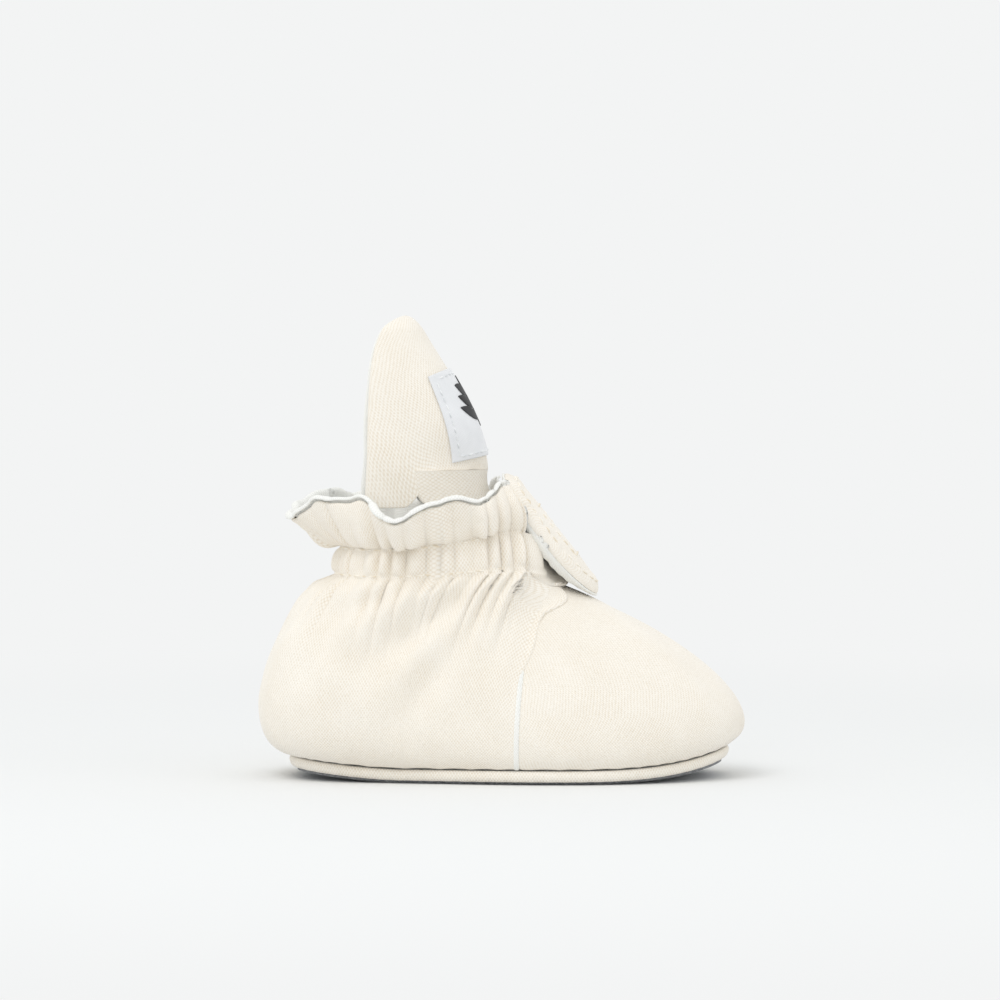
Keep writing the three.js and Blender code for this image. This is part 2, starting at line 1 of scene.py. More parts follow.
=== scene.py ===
"""A soft baby bootie in cream cotton jersey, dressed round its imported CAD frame.

Every cloth layer is cut as a grid, laid on a surface of the last, given its thickness and a flat cut
pattern in millimetres, and dressed in a material that is knitted, woven or quilted at its real scale.
Sizes are in millimetres unless a name says otherwise; meshes are written in metres.
"""

from __future__ import annotations

import logging
import math
from dataclasses import dataclass, field
from enum import Enum
from typing import Any, Callable, Sequence

import bmesh
import bpy
import numpy as np
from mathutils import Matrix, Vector


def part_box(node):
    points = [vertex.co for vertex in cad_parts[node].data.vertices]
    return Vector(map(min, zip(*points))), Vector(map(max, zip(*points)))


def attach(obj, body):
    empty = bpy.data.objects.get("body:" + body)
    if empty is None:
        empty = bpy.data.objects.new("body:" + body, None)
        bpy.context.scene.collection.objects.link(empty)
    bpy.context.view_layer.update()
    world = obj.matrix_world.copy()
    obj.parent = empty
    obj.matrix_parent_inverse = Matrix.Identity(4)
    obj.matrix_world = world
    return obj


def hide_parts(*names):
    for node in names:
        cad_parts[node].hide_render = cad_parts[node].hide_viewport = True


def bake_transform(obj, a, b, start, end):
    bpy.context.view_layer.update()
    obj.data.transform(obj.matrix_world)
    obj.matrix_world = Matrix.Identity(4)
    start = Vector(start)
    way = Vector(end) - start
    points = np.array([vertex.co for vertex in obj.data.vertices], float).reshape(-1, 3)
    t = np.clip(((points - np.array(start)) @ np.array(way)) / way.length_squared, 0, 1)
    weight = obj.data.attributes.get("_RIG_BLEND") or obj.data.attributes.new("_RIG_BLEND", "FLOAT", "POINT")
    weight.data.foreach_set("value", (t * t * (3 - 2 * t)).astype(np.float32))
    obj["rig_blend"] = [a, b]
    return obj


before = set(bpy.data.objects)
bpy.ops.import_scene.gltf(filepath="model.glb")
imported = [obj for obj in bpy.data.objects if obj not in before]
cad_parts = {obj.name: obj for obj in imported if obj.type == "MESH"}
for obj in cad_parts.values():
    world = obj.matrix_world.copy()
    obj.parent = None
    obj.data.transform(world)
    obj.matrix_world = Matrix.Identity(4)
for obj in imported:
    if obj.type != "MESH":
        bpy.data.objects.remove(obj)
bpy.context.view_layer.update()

LOG = logging.getLogger("bootie")
MM = 0.001
CLEARANCE = 0.3  # between two layers that lie on each other
WAVES = 20  # how many bands a wave texture draws in one unit of its scale
Array = np.ndarray
Line = Callable[[Array], Array]
Surface = Callable[[Array, Array], Array]
Mover = Callable[[Surface, Array, Array, Array], Array]


# ---- small maths ----------------------------------------------------------------------------------------


def lerp(a: Any, b: Any, share: Any) -> Any:
    """Returns the value a share of the way from a to b."""
    return a + (b - a) * share


def smoothstep(x: Any, low: float, high: float) -> Array:
    """Returns 0 below low, 1 above high and a smooth step between them."""
    t = np.clip((np.asarray(x, float) - low) / (high - low), 0, 1)
    return t * t * (3 - 2 * t)


def bump(x: Any, middle: float, width: float) -> Array:
    """Returns a soft hill of height 1 that stands at middle."""
    return np.exp(-(((np.asarray(x, float) - middle) / width) ** 2))


def signed_power(x: Array, power: float) -> Array:
    """Returns |x| to a power with the sign of x."""
    return np.sign(x) * np.abs(x) ** power


def xyz(x: Any, y: Any, z: Any) -> Array:
    """Returns points, one to a row, from coordinates that may be arrays or numbers."""
    return np.stack(np.broadcast_arrays(x, y, z), axis=-1).astype(float)


def unit(vectors: Array) -> Array:
    """Returns the vectors at length 1."""
    return vectors / np.maximum(np.linalg.norm(vectors, axis=-1, keepdims=True), 1e-12)


def bezier(a: Array, b: Array, c: Array, d: Array, t: Array) -> Array:
    """Returns points of cubic curves with the given control points, one curve or point to a row."""
    t = np.asarray(t, float)[..., None]
    s = 1 - t
    return s**3 * a + 3 * s * s * t * b + 3 * s * t * t * c + t**3 * d


def lumps(p: Array, size: float, seed: float = 0.0) -> Array:
    """Returns a smooth uneven height, about -1 to 1, like cloth that was handled.

    Args:
        p: Points, in millimetres.
        size: The usual distance between two lumps.
        seed: A number that gives another set of lumps.
    """
    total = np.zeros(len(p))
    for i in range(6):
        turn = 2.4 * i + seed
        way = np.array([math.cos(turn), math.sin(turn * 1.7 + 0.5), math.sin(turn + 1.1)])
        total += np.sin(p @ way * (2 * math.pi / (size * (1 + 0.23 * i))) + 3.1 * i + seed)
    return total / 3.4


def smooth_keys(at: Array, keys: Sequence[tuple[float, ...]], column: int) -> Array:
    """Returns a smooth curve through keys whose first number is the place and which repeat every 360.

    Args:
        at: Places, in degrees.
        keys: The keys, in order of place.
        column: Which number of a key is wanted.
    """
    places = np.array([k[0] for k in keys] + [keys[0][0] + 360], float)
    values = np.array([k[column] for k in keys] + [keys[0][column]], float)
    at = np.mod(np.asarray(at, float) - places[0], 360) + places[0]
    i = np.clip(np.searchsorted(places, at, side="right") - 1, 0, len(keys) - 1)
    count = len(keys)
    before, after = values[(i - 1) % count], values[(i + 2) % count]
    t = (at - places[i]) / (places[i + 1] - places[i])
    here, there = values[i], values[i + 1]
    return 0.5 * (
        2 * here
        + (there - before) * t
        + (2 * before - 5 * here + 4 * there - after) * t**2
        + (3 * here - before - 3 * there + after) * t**3
    )


# ---- cloth ----------------------------------------------------------------------------------------------


def normal(surface: Surface, u: Array, v: Array, step: float = 1e-3) -> Array:
    """Returns the surface's unit normals, which point inwards on every surface of this bootie."""
    u0, v0 = np.minimum(u, 1 - step), np.minimum(v, 1 - step)
    base = surface(u0, v0)
    return unit(np.cross(surface(u0 + step, v0) - base, surface(u0, v0 + step) - base))


def laid(surface: Surface, u: Array, v: Array, depth: Array) -> Array:
    """Returns points of a surface moved inwards off it by a depth."""
    return surface(u, v) + normal(surface, u, v) * np.asarray(depth)[..., None]


def laid_level(surface: Surface, u: Array, v: Array, depth: Array) -> Array:
    """Returns points moved off a surface without leaving their level, as its layers are cut level."""
    step = 1e-3
    u0 = np.minimum(u, 1 - step)
    along = (surface(u0 + step, v) - surface(u0, v)) * [1, 1, 0]
    inward = unit(np.cross(along, [0.0, 0.0, 1.0]))
    return surface(u, v) + inward * np.asarray(depth)[..., None]


def part_of(surface: Surface, u: tuple[float, float] = (0, 1), v: tuple[float, float] = (0, 1)) -> Surface:
    """Returns the part of a surface between two shares each way, as a surface of its own."""
    return lambda s, t: surface(lerp(u[0], u[1], s), lerp(v[0], v[1], t))


def object_of(name: str, bm: bmesh.types.BMesh) -> bpy.types.Object:
    """Returns a new object that holds a bmesh, which is freed."""
    mesh = bpy.data.meshes.new(name)
    bm.to_mesh(mesh)
    bm.free()
    obj = bpy.data.objects.new(name, mesh)
    bpy.context.scene.collection.objects.link(obj)
    return obj


def lay_flat(obj: bpy.types.Object, widths: Array, length: float) -> None:
    """Gives a sheet its cut pattern: a UV map in millimetres whose V runs up the sheet.

    Args:
        obj: The sheet, before it has its thickness.
        widths: The cut's widths at even shares of the way up.
        length: The cut's length.
    """
    mesh = obj.data
    share = np.zeros(len(mesh.vertices) * 3)
    mesh.attributes["share"].data.foreach_get("vector", share)
    corner = np.zeros(len(mesh.loops), int)
    mesh.loops.foreach_get("vertex_index", corner)
    s, t = share.reshape(-1, 3)[corner, :2].T
    width = np.interp(t, np.linspace(0, 1, len(widths)), widths)
    flat = np.stack([(s - 0.5) * width, (t - 0.5) * length], axis=1)
    mesh.uv_layers.new(name="cut").data.foreach_set("uv", flat.astype(np.float32).ravel())


def run(line: Array) -> Array:
    """Returns how far along a line each of its points lies."""
    return np.concatenate([[0], np.cumsum(np.linalg.norm(np.diff(line, axis=0), axis=1))])


def lengths(lines: Sequence[Array]) -> Array:
    """Returns the lengths of some lines of points."""
    return np.array([np.linalg.norm(np.diff(line, axis=0), axis=1).sum() for line in lines])


def eased(share: Array, rim: float, steps: int) -> Array:
    """Returns shares with the first and last two rows drawn in to a rim, where the cloth rounds off."""
    rows = 2 / steps
    near = rim * (1 - np.cos(np.clip(share / rows, 0, 1) * math.pi / 2))
    far = 1 - rim * (1 - np.cos(np.clip((1 - share) / rows, 0, 1) * math.pi / 2))
    middle = lerp(rim, 1 - rim, (share - rows) / (1 - 2 * rows))
    return np.where(share < rows, near, np.where(share > 1 - rows, far, middle))


def cloth(
    name: str,
    surface: Surface,
    steps: tuple[int, int],
    depths: tuple[float, float],
    closed: bool = False,
    move: Mover = laid,
    square: str = "",
    tapered: bool = False,
) -> bpy.types.Object:
    """Cuts a layer of cloth and lays it on a surface.

    Args:
        name: The piece's name.
        surface: What it is laid on, u across and v up, in millimetres.
        steps: The grid's squares along u and v.
        depths: Its outer and inner face, below the surface.
        closed: Whether it is a ring, closed on itself along u.
        move: How points are moved off the surface.
        square: Edges that aren't rounded, because the next piece carries on from them: any of "lrbt".
        tapered: Whether the cut is as wide as each row, not one width that is drawn in or stretched.

    Returns:
        The piece: a closed solid with rounded rims, smooth shading and a UV map in millimetres.
    """
    half, middle = (depths[1] - depths[0]) / 2, (depths[0] + depths[1]) / 2
    sample = np.linspace(0, 1, 241)
    widths = lengths([surface(sample, np.full(241, t)) for t in np.linspace(0.01, 0.99, 9)])
    size_u = widths.mean()
    size_v = lengths([surface(np.full(241, t), sample) for t in (0.1, 0.3, 0.5, 0.7, 0.9)]).mean()

    bm = bmesh.new()
    bmesh.ops.create_grid(bm, x_segments=steps[0], y_segments=steps[1], size=0.5)
    layer = bm.verts.layers.float_vector.new("share")
    for vert in bm.verts:
        vert[layer] = (vert.co.x + 0.5, vert.co.y + 0.5, 0.0)

    def place(at: Array) -> Array:
        """Returns where the grid's points lie, in metres, from their shares (u, v, depth)."""
        u = at[:, 0] if closed else eased(at[:, 0], half / size_u, steps[0])
        v = eased(at[:, 1], half / size_v, steps[1])
        sides = {"l": u * size_u, "r": (1 - u) * size_u, "b": v * size_v, "t": (1 - v) * size_v}
        rounded = [sides[key] for key in sides if key not in square and not (closed and key in "lr")]
        near = np.clip(np.min(rounded, axis=0) / half, 0, 1) if rounded else 1.0
        round_off = np.sqrt(1 - (1 - near) ** 2)
        depth = middle + (2 * at[:, 2] - 1) * half * np.maximum(round_off, 0.1)
        return move(surface, u, v, depth) * MM

    def settle() -> None:
        """Moves every point of the bmesh to its place."""
        bm.verts.ensure_lookup_table()
        at = np.array([vert[layer] for vert in bm.verts], float)
        for vert, co in zip(bm.verts, place(at)):
            vert.co = co

    settle()
    obj = object_of(name, bm)
    lay_flat(obj, widths if tapered else widths * 0 + size_u, size_v)
    bm = bmesh.new()
    bm.from_mesh(obj.data)
    layer = bm.verts.layers.float_vector["share"]
    grown = bmesh.ops.extrude_face_region(bm, geom=bm.faces[:])["geom"]
    for vert in (g for g in grown if isinstance(g, bmesh.types.BMVert)):
        vert[layer] = (*vert[layer][:2], 1.0)
    settle()
    if closed:
        bmesh.ops.remove_doubles(bm, verts=bm.verts[:], dist=1e-7)
        walls = [f for f in bm.faces if all(v[layer][0] < 1e-4 or v[layer][0] > 1 - 1e-4 for v in f.verts)]
        bmesh.ops.delete(bm, geom=walls, context="FACES_ONLY")
    bmesh.ops.recalc_face_normals(bm, faces=bm.faces[:])
    for face in bm.faces:
        face.smooth = True
    bm.to_mesh(obj.data)
    bm.free()
    return obj


@dataclass(frozen=True)
class Seam:
    """A row of visible stitches: short lengths of thread that lie on the cloth."""

    pitch: float = 3.0  # from one stitch to the next
    length: float = 2.4
    radius: float = 0.2
    sink: float = 0.12  # how deep a stitch's ends go into the cloth

    def sew(self, name: str, line: Line, lift: Line) -> bpy.types.Object:
        """Lays the stitches along a line.

        Args:
            name: The piece's name.
            line: Points of the line from shares of it, in millimetres.
            lift: Unit vectors that point off the cloth, from the same shares.

        Returns:
            One object that holds all the stitches.
        """
        shares = np.linspace(0, 1, 400)
        path = line(shares)
        along = run(path)
        count = max(1, int(along[-1] / self.pitch))
        pitch = along[-1] / count
        middles = (np.arange(count) + 0.5) * pitch
        near, here, far = (
            line(np.interp(middles + reach * self.length / 2, along, shares)) for reach in (-1, 0, 1)
        )
        middles = middles[(unit(here - near) * unit(far - here)).sum(1) > 0.9]
        bm = bmesh.new()
        verts = [
            vert
            for _ in middles
            for vert in bmesh.ops.create_uvsphere(bm, u_segments=8, v_segments=8, radius=1.0)["verts"]
        ]
        local = np.array([vert.co for vert in verts], float)
        reach = signed_power(local[:, 2], 0.6)
        at = np.repeat(middles, len(local) // len(middles)) + reach * self.length / 2
        share = np.interp(at, along, shares)
        middle = line(share)
        up = lift(share)
        ahead = unit(line(np.minimum(share + 1e-4, 1)) - line(np.maximum(share - 1e-4, 0)))
        side = unit(np.cross(ahead, up))
        rise = self.radius * 0.9 - (self.sink + self.radius) * reach**2
        middle = middle + up * (rise + local[:, 0] * self.radius)[:, None]
        middle = middle + side * (local[:, 1] * self.radius)[:, None]
        for vert, co in zip(verts, middle * MM):
            vert.co = co
        bmesh.ops.recalc_face_normals(bm, faces=bm.faces[:])
        for face in bm.faces:
            face.smooth = True
        return object_of(name, bm)


# ---- finishes -------------------------------------------------------------------------------------------


def linear(colour: str) -> tuple[float, float, float, float]:
    """Returns an sRGB hex colour as linear RGBA."""
    parts = [int(colour[i : i + 2], 16) / 255 for i in (1, 3, 5)]
    return (*(p / 12.92 if p <= 0.04045 else ((p + 0.055) / 1.055) ** 2.4 for p in parts), 1.0)


def add_node(
    tree: bpy.types.NodeTree, kind: str, inputs: dict[str | int, Any] | None = None, **settings: Any
) -> bpy.types.Node:
    """Adds a node to a tree.

    Args:
        tree: The material's node tree.
        kind: The node's type.
        inputs: Values or sockets for its inputs, by name or number.
        **settings: Its own settings.

    Returns:
        The node.
    """
    made = tree.nodes.new(kind)
    for key, value in settings.items():
        setattr(made, key, value)
    for key, value in (inputs or {}).items():
        if isinstance(value, bpy.types.NodeSocket):
            tree.links.new(value, made.inputs[key])
        else:
            made.inputs[key].default_value = value
    return made


class Finish:
    """What a piece is made of. A subclass draws its pattern; the material is made once."""

    name: str

    def draw(self, tree: bpy.types.NodeTree, shader: bpy.types.Node) -> None:
        """Adds the pattern's nodes and links them to the shader."""
        raise NotImplementedError

    def surface(
        self,
        tree: bpy.types.NodeTree,
        shader: bpy.types.Node,
        shade: bpy.types.NodeSocket,
        height: bpy.types.NodeSocket,
        ends: tuple[float, float] = (0.0, 1.0),
        relief: float = 0.05,
        strength: float = 0.5,
        **values: float,
    ) -> None:
        """Colours the shader from painted shade in its hollows to the thread's own colour, raises its relief
        and sets its other values.

        Args:
            tree: The material's node tree.
            shader: Its shader.
            shade: What goes from the painted shade in the hollows to the thread's colour.
            height: What stands up.
            ends: Where on shade the two colours lie.
            relief: How high a height of 1 stands, in millimetres.
            strength: How much of that the bump shows.
            **values: The shader's own values, with _ for the spaces in their names.
        """
        # Painted shade: the ramp's low end darkens the colour where the relief is low, in the hollows of the
        # cloth or thread.
        colour = add_node(tree, "ShaderNodeValToRGB", {0: shade})
        for element, end, look in zip(colour.color_ramp.elements, ends, (self.hollow_shade, self.thread)):
            element.position, element.color = end, linear(look)
        tree.links.new(colour.outputs[0], shader.inputs["Base Color"])
        bump_inputs = {"Strength": strength, "Distance": relief * MM, "Height": height}
        tree.links.new(add_node(tree, "ShaderNodeBump", bump_inputs).outputs[0], shader.inputs["Normal"])
        for key, value in values.items():
            shader.inputs[key.replace("_", " ")].default_value = value

    def material(self) -> bpy.types.Material:
        """Returns the finish's material."""
        found = bpy.data.materials.get(self.name)
        if found:
            return found
        made = bpy.data.materials.new(self.name)
        made.use_nodes = True
        made.node_tree.nodes.clear()
        shader = add_node(made.node_tree, "ShaderNodeBsdfPrincipled")
        output = add_node(made.node_tree, "ShaderNodeOutputMaterial")
        made.node_tree.links.new(shader.outputs[0], output.inputs[0])
        self.draw(made.node_tree, shader)
        return made


def math_node(tree: bpy.types.NodeTree, operation: str, *values: Any) -> bpy.types.NodeSocket:
    """Returns the result of one arithmetic step on values or sockets."""
    return add_node(tree, "ShaderNodeMath", dict(enumerate(values)), operation=operation).outputs[0]


@dataclass(frozen=True)
class Jersey(Finish):
    """Cotton jersey: wales of small loops with pinholes between them darkened by painted shade, matt and
    slightly fuzzy.
    """

    name: str
    thread: str  # the colour of a loop's crown
    hollow_shade: str  # painted shade: the colour between loops
    wale: float = 0.74  # between two wales; real loops, drawn at their real size
    course: float = 1.04  # over two courses, whose loops stand half a wale apart
    relief: float = 0.11
    fuzz: float = 0.3  # how much sheen the loose fibres give
    mottle: float = 0.3

    def draw(self, tree: bpy.types.NodeTree, shader: bpy.types.Node) -> None:
        """Draws the loops on the cloth's cut pattern, which is in millimetres."""
        cut = add_node(tree, "ShaderNodeUVMap")
        parts = add_node(tree, "ShaderNodeSeparateXYZ", {0: cut.outputs[0]})
        here = add_node(tree, "ShaderNodeTexCoord").outputs["Object"]
        noises = [
            add_node(tree, "ShaderNodeTexNoise", {"Vector": here, "Scale": scale, "Detail": 3.0})
            for scale in (170.0, 2600.0, 90.0)  # per metre: the wales' wandering, fibres, faint clouds
        ]
        wander, fibre, cloud = (noise.outputs["Fac"] for noise in noises)
        drift = math_node(tree, "MULTIPLY", wander, 5.0)
        across = math_node(tree, "MULTIPLY_ADD", parts.outputs[0], 2 * math.pi / self.wale, drift)
        along = math_node(tree, "MULTIPLY_ADD", parts.outputs[1], 2 * math.pi / self.course, drift)
        ridge = math_node(tree, "COSINE", across)
        dots = math_node(tree, "MULTIPLY", ridge, math_node(tree, "COSINE", along))
        ridges = math_node(tree, "MULTIPLY_ADD", math_node(tree, "MULTIPLY", ridge, ridge), 0.16, 0.36)
        height = math_node(tree, "MULTIPLY_ADD", dots, 0.36, ridges)
        # The loops' height darkens the colour between them as painted shade; fibres and clouds add the yarn's
        # own uneven tone.
        crown = math_node(tree, "MULTIPLY_ADD", fibre, 0.5, math_node(tree, "MULTIPLY", height, 0.7))
        shade = math_node(tree, "MULTIPLY_ADD", cloud, self.mottle, crown)
        sheen = {"Sheen_Weight": self.fuzz, "Sheen_Roughness": 0.6, "Specular_IOR_Level": 0.2}
        self.surface(tree, shader, shade, crown, (0.3, 0.82), self.relief, 0.8, Roughness=0.92, **sheen)


@dataclass(frozen=True)
class Satin(Finish):
    """Woven polyester satin: smooth, with a soft sheen and very fine ribs across."""

    name: str
    thread: str
    hollow_shade: str
    rib: float = 0.36  # drawn twice as coarse as the real weave, so that it shows
    roughness: float = 0.42

    def draw(self, tree: bpy.types.NodeTree, shader: bpy.types.Node) -> None:
        """Draws the ribs on the label's cut pattern."""
        cut = add_node(tree, "ShaderNodeUVMap")
        parts = add_node(tree, "ShaderNodeSeparateXYZ", {0: cut.outputs[0]})
        place = add_node(tree, "ShaderNodeTexCoord")
        warp, rib = (
            math_node(tree, "SINE", math_node(tree, "MULTIPLY", parts.outputs[way], 2 * math.pi / pitch))
            for way, pitch in enumerate((self.rib * 1.3, self.rib))
        )
        weave = math_node(tree, "MULTIPLY_ADD", math_node(tree, "MULTIPLY", rib, warp), 0.25, 0.5)
        cloud = add_node(tree, "ShaderNodeTexNoise", {"Vector": place.outputs["Object"], "Scale": 220.0})
        # The troughs between ribs take the darker colour as painted shade; the clouds are the satin's own
        # uneven tone.
        shade = math_node(tree, "MULTIPLY_ADD", cloud.outputs["Fac"], 0.4, weave)
        self.surface(tree, shader, shade, weave, (0.4, 0.9), Roughness=self.roughness, Sheen_Weight=0.15)


@dataclass(frozen=True)
class Yarn(Finish):
    """Sewing thread: two plies twisted together, with painted shade between the plies and a slight shine
    along the twist.
    """

    name: str
    thread: str
    hollow_shade: str
    ply: float = 0.35
    roughness: float = 0.7

    def draw(self, tree: bpy.types.NodeTree, shader: bpy.types.Node) -> None:
        """Draws the twist as slanting bands through the object's own space."""
        place = add_node(tree, "ShaderNodeTexCoord")
        slant = {"Vector": place.outputs["Object"], "Rotation": (0.6, 0.7, 0.5)}
        turned = add_node(tree, "ShaderNodeMapping", slant)
        bands = {"Vector": turned.outputs[0], "Scale": 1 / (self.ply * MM) / WAVES, "Distortion": 1.5}
        twist = add_node(tree, "ShaderNodeTexWave", bands).outputs["Fac"]
        # The dark part of each band is painted shade between the plies.
        self.surface(tree, shader, twist, twist, Roughness=self.roughness)


@dataclass(frozen=True)
class Fleece(Finish):
    """A matt pile of fibres with no weave: wadding, a loop patch or a gripping cloth."""

    name: str
    thread: str
    hollow_shade: str
    tuft: float = 1.2  # the usual size of a tuft
    relief: float = 0.3
    roughness: float = 0.98

    def draw(self, tree: bpy.types.NodeTree, shader: bpy.types.Node) -> None:
        """Draws tufts and fibres in the object's own space."""
        place = add_node(tree, "ShaderNodeTexCoord")
        here, scale = place.outputs["Object"], 1 / (self.tuft * MM)
        tufts = add_node(tree, "ShaderNodeTexVoronoi", {"Vector": here, "Scale": scale}, feature="SMOOTH_F1")
        fine = {"Vector": here, "Scale": 3 * scale, "Detail": 4.0, "Distortion": 1.0}
        fibres = add_node(tree, "ShaderNodeTexNoise", fine)
        # The colour darkens between the tufts, where the height is low: painted shade.
        height = math_node(tree, "MULTIPLY_ADD", tufts.outputs["Distance"], -0.6, fibres.outputs["Fac"])
        look = {"Roughness": self.roughness, "Sheen_Weight": 0.2}
        self.surface(tree, shader, height, height, (0.0, 0.4), self.relief, 0.8, **look)


# Each finish's second colour is painted shade, for the hollows between its loops, ribs, plies or tufts.
CREAM_JERSEY = Jersey("undyed cotton jersey", thread="#F9F4EB", hollow_shade="#E1D4BE")
LINING_JERSEY = Jersey(
    "white cotton jersey", thread="#F9F9F6", hollow_shade="#E4E4DE", wale=0.6, course=0.8, relief=0.05, mottle=0.2
)
ELASTIC_BRAID = Satin("braided elastic", thread="#F4F4F0", hollow_shade="#D8D8D2", rib=0.9, roughness=0.75)
LABEL_SATIN = Satin("woven polyester satin", thread="#EEEFF1", hollow_shade="#D9DBDE")
CREAM_THREAD = Yarn("cream spun polyester thread", thread="#FDF8EE", hollow_shade="#EADFCB")
WHITE_THREAD = Yarn("white spun polyester thread", thread="#F7F8F8", hollow_shade="#D9DCDE")
MOTIF_THREAD = Yarn("black rayon embroidery thread", thread="#2A2A2D", hollow_shade="#121214", roughness=0.5)
WADDING = Fleece("cotton wadding", thread="#F5F4EF", hollow_shade="#E2E0D8")
FASTENER = Fleece("hook and loop nylon", thread="#F5F5F2", hollow_shade="#CFCFC9", tuft=0.7)
GRIP_CLOTH = Fleece("non-slip coated cloth", thread="#9A9C9F", hollow_shade="#6B6D70", tuft=0.9, relief=0.2)


class Body(Enum):
    """The CAD bodies that pieces ride on."""

    BOOTIE = "bootie"
    TAB = "tab"
    TONGUE = "tongue_top"


class Held(Enum):
    """How a sheet of cloth is held."""

    GATHERED = "gathered"
    STRETCHED = "stretched"
    LAID = "laid"


@dataclass(frozen=True)
class Kind:
    """A finish with the slot that it stands for, and how such cloth is held."""

    finish: Finish
    slot: str
    held: Held | None = None
    fill: float | None = None


OUTER = Kind(CREAM_JERSEY, "cream_jersey", held=Held.STRETCHED)
GATHERED = Kind(CREAM_JERSEY, "cream_jersey", held=Held.GATHERED)
LINING = Kind(LINING_JERSEY, "lining_jersey", held=Held.STRETCHED)
GATHERED_LINING = Kind(LINING_JERSEY, "lining_jersey", held=Held.GATHERED)
PAD = Kind(WADDING, "wadding", fill=0.5)
SEWN = Kind(CREAM_THREAD, "cream_thread")


# the narrowest flat size that a sheet may state
LEAST_WIDTH = 0.01  # in metres: the narrowest flat size that cut_size gives a sheet
LEAST_SHARE = 0.3  # the least share of its flat size that a sheet's area may be


def cut_size(obj: bpy.types.Object) -> tuple[tuple[float, float], float]:
    """Returns the width, length and area of a sheet's cut pattern, in metres."""
    mesh = obj.data
    flat = np.zeros(len(mesh.loops) * 2)
    mesh.uv_layers[0].data.foreach_get("uv", flat)
    flat = flat.reshape(-1, 2)
    width, length = np.maximum((flat.max(0) - flat.min(0)) * MM, LEAST_WIDTH)
    area = sum(face.area for face in mesh.polygons) / 2
    return (float(width), float(length)), area


def dress(obj: bpy.types.Object, kind: Kind, node: str, body: Body = Body.BOOTIE) -> None:
    """Gives a piece its finish and its body, hides the CAD node that it stands for, and logs it."""
    obj.data.materials.append(kind.finish.material())
    if "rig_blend" not in obj:
        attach(obj, body.value)
    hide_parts(node)
    if kind.held:
        (width, length), area = cut_size(obj)
        width = max(width, area / length)
        area = max(area, LEAST_SHARE * width * length)
    LOG.info("%s: %d faces, %s", obj.name, len(obj.data.polygons), kind.finish.name)


def stack(*thicknesses: float, clearance: float = CLEARANCE) -> list[tuple[float, float]]:
    """Returns the depths of layers that lie on each other with a clearance between them."""
    depth, levels = 0.0, []
    for thickness in thicknesses:
        levels.append((depth, depth + thickness))
        depth += thickness + clearance
    return levels


# ---- the last -------------------------------------------------------------------------------------------


@dataclass(frozen=True)
class Stand:
    """How far a meridian's two middle points stand out from the sole line, by direction."""

    low: float
    low_up: float
    high: float
    high_down: float


